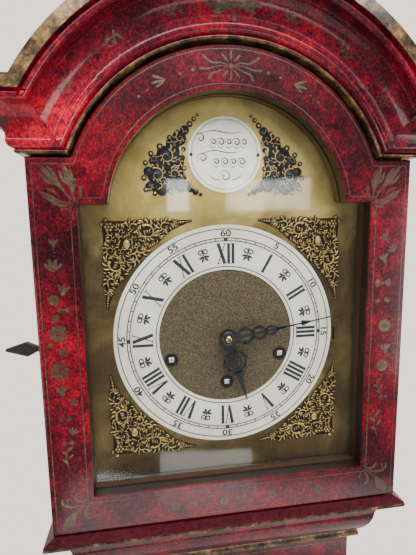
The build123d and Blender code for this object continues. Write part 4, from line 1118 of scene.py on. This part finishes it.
def corner_work():
    """A cast brass corner mount, drawn at the upper right: scrolls and leaves about a small calm mask."""
    work = Strips(on_plane(PLATE_Y, DIAL_Z))
    far = 120.5
    drawn = []

    def add(points, width, shape):
        drawn.extend(points)
        cast(work, points, width, 1.6, shape, 0.7)
        cast(work, [(z, x) for x, z in points], width, 1.6, shape, 0.7)

    edge = [(0, 0), (20, 0.6), (38, -0.4), (54, 0.6), (70, 0.4), (84, 0.2), (82, 3.6), (70, 8.6),
            (61, 14.5), (54, 21.5), (46, 26), (40, 33)]
    outline = edge + [(v, u) for u, v in reversed(edge[1:])]
    work.plate([(far - u, far - v) for u, v in curve(outline, 3)], 0.55)
    for u, v, r, start, turn, width, leaves, length in (
            (43, 12, 8.2, 55, 430, 2.7, 9, 7.0), (59.5, 6.8, 4.6, 110, -420, 2.1, 7, 5.4),
            (70, 4.2, 2.6, 60, 400, 1.3, 5, 3.4), (35.5, 27.5, 5.2, 190, 430, 2.2, 6, 5.2),
            (17, 6.5, 3.6, 20, -400, 1.4, 5, 3.4), (29, 7.0, 4.4, 150, -420, 2.0, 6, 4.8),
            (30.5, 18.5, 3.4, 300, 380, 1.4, 4, 3.2), (52, 15.5, 2.6, 200, -360, 1.2, 4, 3.6)):
        acanthus(add, far - u, far - v, r, start, turn, width, leaves, length)
    seed = random.Random(11)
    for _ in range(2600):
        u, v = seed.uniform(1.5, 74), seed.uniform(1.5, 42)
        x, z = far - u, far - v
        if v > u or hypot(x, z) < 121.5 or v > 4 + 0.55 * (80 - u):
            continue
        if hypot(u - 7, v - 7) < 6 or hypot(u - 22, v - 22) < 8:
            continue
        if min(hypot(x - a, z - b) for a, b in drawn) < 1.35:
            continue
        turn = 3.0 * sin(0.12 * u) + 2.6 * cos(0.21 * v + 0.4)
        tip = (x + 4.6 * cos(turn), z + 4.6 * sin(turn))
        add(curve([(x, z), ((x + tip[0]) / 2 + 1.3 * sin(turn), (z + tip[1]) / 2 - 1.3 * cos(turn)), tip],
                  4), 1.5, leaf_width)
    for i in range(5):
        u, v, r = 75.5 + 2.5 * i, 2.6 - 0.3 * i, 1.45 - 0.16 * i
        for x, z in ((far - u, far - v), (far - v, far - u)):
            work.plate(oval(x, z, r + 0.8, r + 0.8, 12), 0.7)
            work.dome(x, z, r, r, 1.2, 0.7, 8, 2)
    centre = far - 6.2
    work.plate(oval(centre, centre, 6.2, 6.2, 20), 0.75)
    for x, z in oval(centre, centre, 3.2, 3.2, 6):
        work.dome(x, z, 1.6, 1.6, 1.4, 0.7, 8, 3)
    work.dome(centre, centre, 1.4, 1.4, 2.0, 0.7, 10, 3)
    # the small mask: an oval face with brow, nose and lips under a fan of plumes, looking straight out
    fx, fz = far - 22.5, far - 22.5
    work.plate(oval(fx, fz, 8.0, 9.5, 24), 0.8)
    for i in range(11):
        a = radians(-12 + 20.4 * i)
        work.ridge([(fx + 4.2 * cos(a), fz + 4.6 * sin(a)), (fx + 8.6 * cos(a), fz + 9.8 * sin(a))], 1.7,
                   1.6, leaf_width, 0.8)
    work.dome(fx, fz - 0.6, 3.5, 4.8, 1.9, 0.8, 18, 5)
    work.ridge([(fx, fz + 1.2), (fx, fz - 1.6)], 0.9, 2.7, lambda t: 0.5 + 0.5 * t, 0.8)
    work.ridge([(fx - 2.4, fz + 1.5), (fx + 2.4, fz + 1.5)], 0.6, 2.6, even, 0.8)
    work.ridge([(fx - 1.2, fz - 3.2), (fx + 1.2, fz - 3.2)], 0.7, 2.5, even, 0.8)
    return work


ARCH_LOBES = [(26.5, 37, 1.6), (30, 33, 2.2), (34, 28.3, 2.8), (39.0, 22.6, 4.4), (44.5, 15, 6.9),
              (50.5, 9.5, 6.6), (60, -13, 9), (52, -12, 7), (66, -29, 7), (55, -24, 7), (50, 2, 6),
              (57.5, -1, 9), (68, -6, 5.5), (66.5, -19.5, 9), (74.5, -16, 4.5), (73.5, -30, 4.5),
              (58, -28, 8), (47, -7, 7), (49, -18, 8), (42.5, -22, 4.4), (44, -30, 6), (35.5, -32, 4),
              (29.5, -35.5, 3), (62, -34.5, 4.5), (24.5, -38, 1.8), (46.5, 20.5, 2.4), (53.5, 15.5, 2.4),
              (63, 7, 3), (71.5, 0.5, 2.6), (77, -8, 2.4), (79, -22, 2.6), (77.5, -33, 2.4),
              (69, -36.5, 2.4), (53, -35.5, 2.6), (40.2, -13, 2.4), (41.5, -3, 2.6), (40.3, 5, 2.2),
              (38.6, 13, 2.2), (38, -27, 2.4)]


def arch_work():
    """An arch mount, drawn on the right: dark scrolled foliage with gilt edges, running up to a point."""
    work = Strips(on_plane(PLATE_Y, BOSS_Z))
    for i, (x, z, r) in enumerate(ARCH_LOBES):
        work.plate(oval(x, z, r, r, 28), 0.9 + 0.012 * i)

    def add(points, width, shape):
        work.ridge(points, width, 1.4, shape, 1.0)

    for cx, cz, r, start, turn, width, leaves, length in (
            (43.5, 15.5, 4.6, 60, -420, 1.6, 5, 4.0), (57, -2, 7.2, 110, 470, 1.9, 8, 5.0),
            (66.5, -19.5, 7.4, 60, 450, 1.9, 8, 4.6), (46.5, -7, 4.6, -40, -400, 1.6, 5, 4.0),
            (50, -18.5, 5.2, 200, -430, 1.7, 6, 4.2), (58.5, -30.5, 4.2, -20, 400, 1.5, 5, 3.8),
            (73.5, -30, 3.0, -40, -380, 1.0, 4, 2.6), (38.6, 22.8, 2.5, 30, -380, 0.9, 3, 2.2),
            (51, 9, 3.2, 20, 380, 1.0, 4, 2.6), (69, -5, 3.4, 150, -400, 1.0, 4, 2.8),
            (43.5, -29.5, 3.6, 150, 400, 1.1, 4, 3.0)):
        acanthus(add, cx, cz, r, start, turn, width, leaves, length)
    for x, z, length, angle, width in ((41.5, -2, 8, 100, 1.8), (38.6, 8, 7, 110, 1.6),
                                       (42, -14, 8, 250, 1.8), (37.5, -24, 8, 235, 1.8),
                                       (34, -29.5, 8, 225, 1.8), (38, -30, 7, 200, 1.6)):
        mid = step(*step(x, z, 0.5 * length, angle), -0.8, angle + 90)
        add(curve([(x, z), mid, step(x, z, length, angle)], 4), width, leaf_width)
    for x, z, r in ((34, 28.3, 1.7), (30, 33, 1.35), (26.5, 37, 1.0)):
        work.dome(x, z, r, r, 1.4, 0.9, 12, 3)
    for x, z, r in ARCH_LOBES[25:35]:
        work.dome(x, z, 0.7 * r, 0.7 * r, 1.1, 0.9, 10, 3)
    return work


def spandrels():
    corner_mat = antique_brass("antique_brass", PLATE_Y - 0.7, PLATE_Y - 2.2, (0.56, 0.41, 0.13),
                               (0.022, 0.015, 0.006))
    arch_mat = antique_brass("blackened_brass", PLATE_Y - 1.1, PLATE_Y - 2.1, (0.62, 0.44, 0.17),
                             (0.014, 0.015, 0.020), 0.6)
    corners = (("upper_right", 1, 1), ("upper_left", -1, 1), ("lower_right", 1, -1), ("lower_left", -1, -1))
    first = mirrored_copies(corner_work, "corner_spandrel", corner_mat, corners)[0]
    mirrored_copies(arch_work, "arch_spandrel", arch_mat, (("right", 1, 1), ("left", -1, 1)))
    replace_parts(first, "dial_spandrels")


# ---------------------------------------------------------------- hands
def turned(points, angle):
    """Points drawn with the hand pointing at twelve, turned clockwise to angle."""
    c, s = cos(radians(angle)), sin(radians(angle))
    return [(x * c + z * s, -x * s + z * c) for x, z in points]


def hand(name, node, body, y, depth, angle, strands, hub, hole):
    work = Strips(on_plane(y, DIAL_Z))
    for points, width, shape in strands:
        for side in ((-1, 1) if points[1][0] or points[-1][0] else (1,)):
            path = curve([(side * x, z) for x, z in points], 7)
            work.bar(turned(path, angle), width, depth, shape)
    work.bar(arc(0, 0, (hub + hole) / 2, 0, 360, 40), hub - hole, depth * 1.15)
    obj = work.make(name, BLACK_STEEL, body)
    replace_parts(obj, node)


def hands():
    hour_low, hour_high = edges("hour_hand")
    hour = [([(1.8, 7), (3.6, 12), (2.0, 17)], 3.0, even),
            ([(1.5, 16), (7.6, 18.5), (11.0, 25), (8.6, 32.5), (2.0, 37.5)], 2.9, even),
            ([(0, 9), (0, 24), (0, 40)], 2.3, even),
            ([(2.6, 20), (6.0, 24.5), (5.0, 30.5), (1.4, 35)], 2.3, even),
            ([(10, 22), (13.4, 26.2), (13.0, 30)], 2.1, taper),
            ([(8.5, 32), (9.6, 36), (7.0, 38.8)], 1.9, taper),
            ([(1.6, 37), (6.0, 40), (3.6, 45)], 2.6, taper),
            ([(0, 37), (0, 50), (0, 70.6)], 9.4,
             lambda t: max(0.09, min(1.0, 0.3 + 5 * t) * (1 - t) ** 0.85))]
    hand("hour_hand_pierced", "hour_hand", "hour_pipe", hour_high[1], hour_high[1] - hour_low[1], 163.7,
         hour, 9.6, 4.2)
    minute = [([(2.8, 8), (6.4, 14), (6.2, 20.5), (1.8, 26)], 3.1, even),
              ([(0, 8), (0, 30), (0, 60)], 2.5, even),
              ([(1.6, 25), (5.4, 29), (5.0, 35), (1.4, 40)], 2.7, even),
              ([(1.2, 39), (3.8, 43), (3.0, 48), (0.8, 53)], 2.2, even),
              ([(6.4, 14.5), (8.8, 18.2), (7.2, 22)], 1.9, taper),
              ([(5.8, 30.5), (7.6, 33.2), (6.0, 36.5)], 1.7, taper),
              ([(3.8, 43.5), (5.4, 45.8), (4.0, 48.6)], 1.5, taper),
              ([(0, 52), (0, 80), (0, 111.3)], 2.4, lambda t: max(0.5, 1 - 0.9 * t)),
              ([(0, 77.5), (0, 83), (0, 91)], 6.4,
               lambda t: 0.45 + 4.5 * t if t < 0.12 else max(0.15, 1.12 * (1 - t)))]
    plane = edges("minute_hand")[1][1]
    hand("minute_hand_pierced", "minute_hand", "minute_arbor", plane, 1.0, 80.6, minute, 8.6, 2.1)
    cap = Strips(on_plane(plane - 1.1, DIAL_Z))
    cap.dome(0, 0, 4.1, 4.1, 2.6, 0.0, 28, 6)
    cap.make("minute_hand_nut", POLISHED, "minute_arbor", True)
    ring = Strips(on_plane(plane, DIAL_Z))
    ring.ridge(arc(0, 0, 6.2, 0, 360, 40), 3.4, 0.9, even, 1.0)
    ring.make("minute_hand_collar", BLACK_STEEL, "minute_arbor", True)


def winding_squares():
    """Bright steel ends on the three winding squares."""
    for name, (x, z) in WINDING.items():
        front = edges(name + "_drum")[0][1]
        verts = []
        for half, y in ((2.5, front + 2.0), (2.5, front - 0.15), (1.9, front - 0.5)):
            for a, b in ((-1, -1), (1, -1), (1, 1), (-1, 1)):
                verts.append((x + a * half, y, DIAL_Z + z + b * half))
        faces = quads(0, 4, 3) + [(8, 9, 10, 11)]
        add_mesh(name + "_winding_square", verts, faces, BRIGHT, name + "_drum")


# ---------------------------------------------------------------- cables
def cable_tube(name, points, body, node):
    """A round cable through points in the clock's x-z plane, closed at both ends."""
    low, high = edges(node)
    y, r, n = (low[1] + high[1]) / 2, CABLE_R, 12
    verts = []
    for i, (x, z) in enumerate(points):
        before, after = points[max(i - 1, 0)], points[min(i + 1, len(points) - 1)]
        run = hypot(after[0] - before[0], after[1] - before[1])
        across = ((after[1] - before[1]) / run, (before[0] - after[0]) / run)
        for k in range(n):
            a = 2 * pi * k / n
            verts.append((x + r * cos(a) * across[0], y + r * sin(a), z + r * cos(a) * across[1]))
    last = (len(points) - 1) * n
    faces = quads(0, n, len(points)) + [tuple(range(n))[::-1], tuple(range(last, last + n))]
    tube = add_mesh(name, verts, faces, STEEL, body, smooth=True)
    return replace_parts(tube, node)


def weight_cables():
    """Each cable is a loop that rises with its pulley, and two straight falls that run up from the pulley.
    """
    seat_top = edges("seatboard")[1][2]
    for train in WINDING:
        node = train + "_cable"
        low, high = edges(node)
        cx, side = (low[0] + high[0]) / 2, (high[0] - low[0]) / 2 - CABLE_R
        pulley_z = low[2] + CABLE_R + side
        cable_tube(node + "_loop", arc(cx, pulley_z, side, 180, 360, 32), train + "_weight", node)
        for end, x, top in (("wound", cx - side, high[2]), ("tied", cx + side, seat_top)):
            fall = cable_tube(node + "_" + end, [(x, pulley_z), (x, top)], "case", node)
            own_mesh(fall)


weight_cables()


# ---------------------------------------------------------------- key
def key_details():
    """Turned collars on the key's shank."""
    low, high = edges("hood_key")
    y, z = (low[1] + high[1]) / 2, (low[2] + high[2]) / 2
    verts = []
    for out, r in ((2.2, 3.0), (3.4, 4.4), (5.0, 4.4), (6.4, 3.0), (8.0, 3.4), (9.6, 4.6), (11.5, 3.4)):
        verts += [(-HOOD_HALF - out, *point) for point in oval(y, z, r, r, 20)]
    key_mat = nodes["hood_key"].data.materials[0]
    add_mesh("hood_key_collars", verts, quads(0, 20, 7), key_mat, "hood_key", True)


door_painting()
cornice_painting()
case_painting()
ring_printing()
boss_engraving()
spandrels()
hands()
winding_squares()
key_details()


# ---------------------------------------------------------------- stage, light and camera
CAMERA_TURN = (82.33, 0.91, -8.58)
CAMERA_LENS = 24.97
FLOOR_R = 1.1


def stage():
    bpy.ops.mesh.primitive_circle_add(vertices=96, radius=FLOOR_R, fill_type="NGON",
                                      location=(0, 0, -0.0005))
    floor = bpy.context.object
    floor.name = "floor"
    floor.data.materials.append(pale_floor())

    # A plain pale room. What it adds to the light is bright behind the clock and dim in front of it.
    world = bpy.data.worlds.new("studio")
    world.use_nodes = True
    tree = world.node_tree
    way = tree.nodes.new("ShaderNodeTexCoord")
    split = tree.nodes.new("ShaderNodeSeparateXYZ")
    ramp = tree.nodes.new("ShaderNodeValToRGB")
    pale = tree.nodes.new("ShaderNodeBackground")
    seen = tree.nodes.new("ShaderNodeLightPath")
    choose = tree.nodes.new("ShaderNodeMixShader")
    room = tree.nodes["Background"]
    for source, target in ((way.outputs["Generated"], split.inputs[0]),
                           (split.outputs["Y"], ramp.inputs[0]), (ramp.outputs[0], room.inputs[0]),
                           (seen.outputs["Is Camera Ray"], choose.inputs[0]),
                           (room.outputs[0], choose.inputs[1]), (pale.outputs[0], choose.inputs[2]),
                           (choose.outputs[0], tree.nodes["World Output"].inputs[0])):
        tree.links.new(source, target)
    dim, light = ramp.color_ramp.elements
    dim.position, dim.color = 0.0, (0.12, 0.118, 0.115, 1.0)
    light.position, light.color = 0.45, (1.0, 0.95, 0.90, 1.0)
    room.inputs[1].default_value = 1.4
    pale.inputs[0].default_value = (1.0, 0.900, 0.785, 1.0)
    pale.inputs[1].default_value = 1.8
    bpy.context.scene.world = world

    for name, place, aim, size, power in (
            ("overhead_softbox", (0.1, -1.5, 3.3), (0, 0, 1.7), (2.4, 1.4), 118.0),
            ("upper_window_left", (0.17, -3.0, 1.95), (0.0, 0, 1.75), (0.18, 0.26), 0.85),
            ("upper_window_right", (0.95, -3.0, 1.95), (0.1, 0, 1.75), (0.72, 0.26), 2.2),
            ("lower_window", (0.10, -1.0, 0.79), (0.0, 0, 1.45), (0.34, 0.16), 0.32),
            ("left_softbox", (-2.0, -2.0, 0.90), (0, 0, 1.7), (1.4, 1.4), 32.0),
            ("right_softbox", (2.4, -2.1, 1.20), (0, 0, 1.7), (1.3, 1.5), 42.0),
            ("floor_bounce", (0.3, -1.5, 0.20), (0, 0, 1.8), (1.8, 0.35), 6.0)):
        data = bpy.data.lights.new(name, "AREA")
        data.shape = "RECTANGLE"
        data.size, data.size_y = size
        data.energy = power
        lamp = bpy.data.objects.new(name, data)
        bpy.context.scene.collection.objects.link(lamp)
        lamp.location = place
        lamp.rotation_euler = (Vector(aim) - Vector(place)).to_track_quat("-Z", "Y").to_euler()

    data = bpy.data.cameras.new("camera")
    data.lens = CAMERA_LENS
    data.sensor_width = 36.0
    data.clip_start = 0.01
    camera = bpy.data.objects.new("camera", data)
    bpy.context.scene.collection.objects.link(camera)
    camera.location = (-0.0754, (RING_Y - 381.9) * MM, (DIAL_Z + 114.2) * MM)
    camera.rotation_euler = Euler([radians(a) for a in CAMERA_TURN], "XYZ")
    bpy.context.scene.camera = camera


stage()
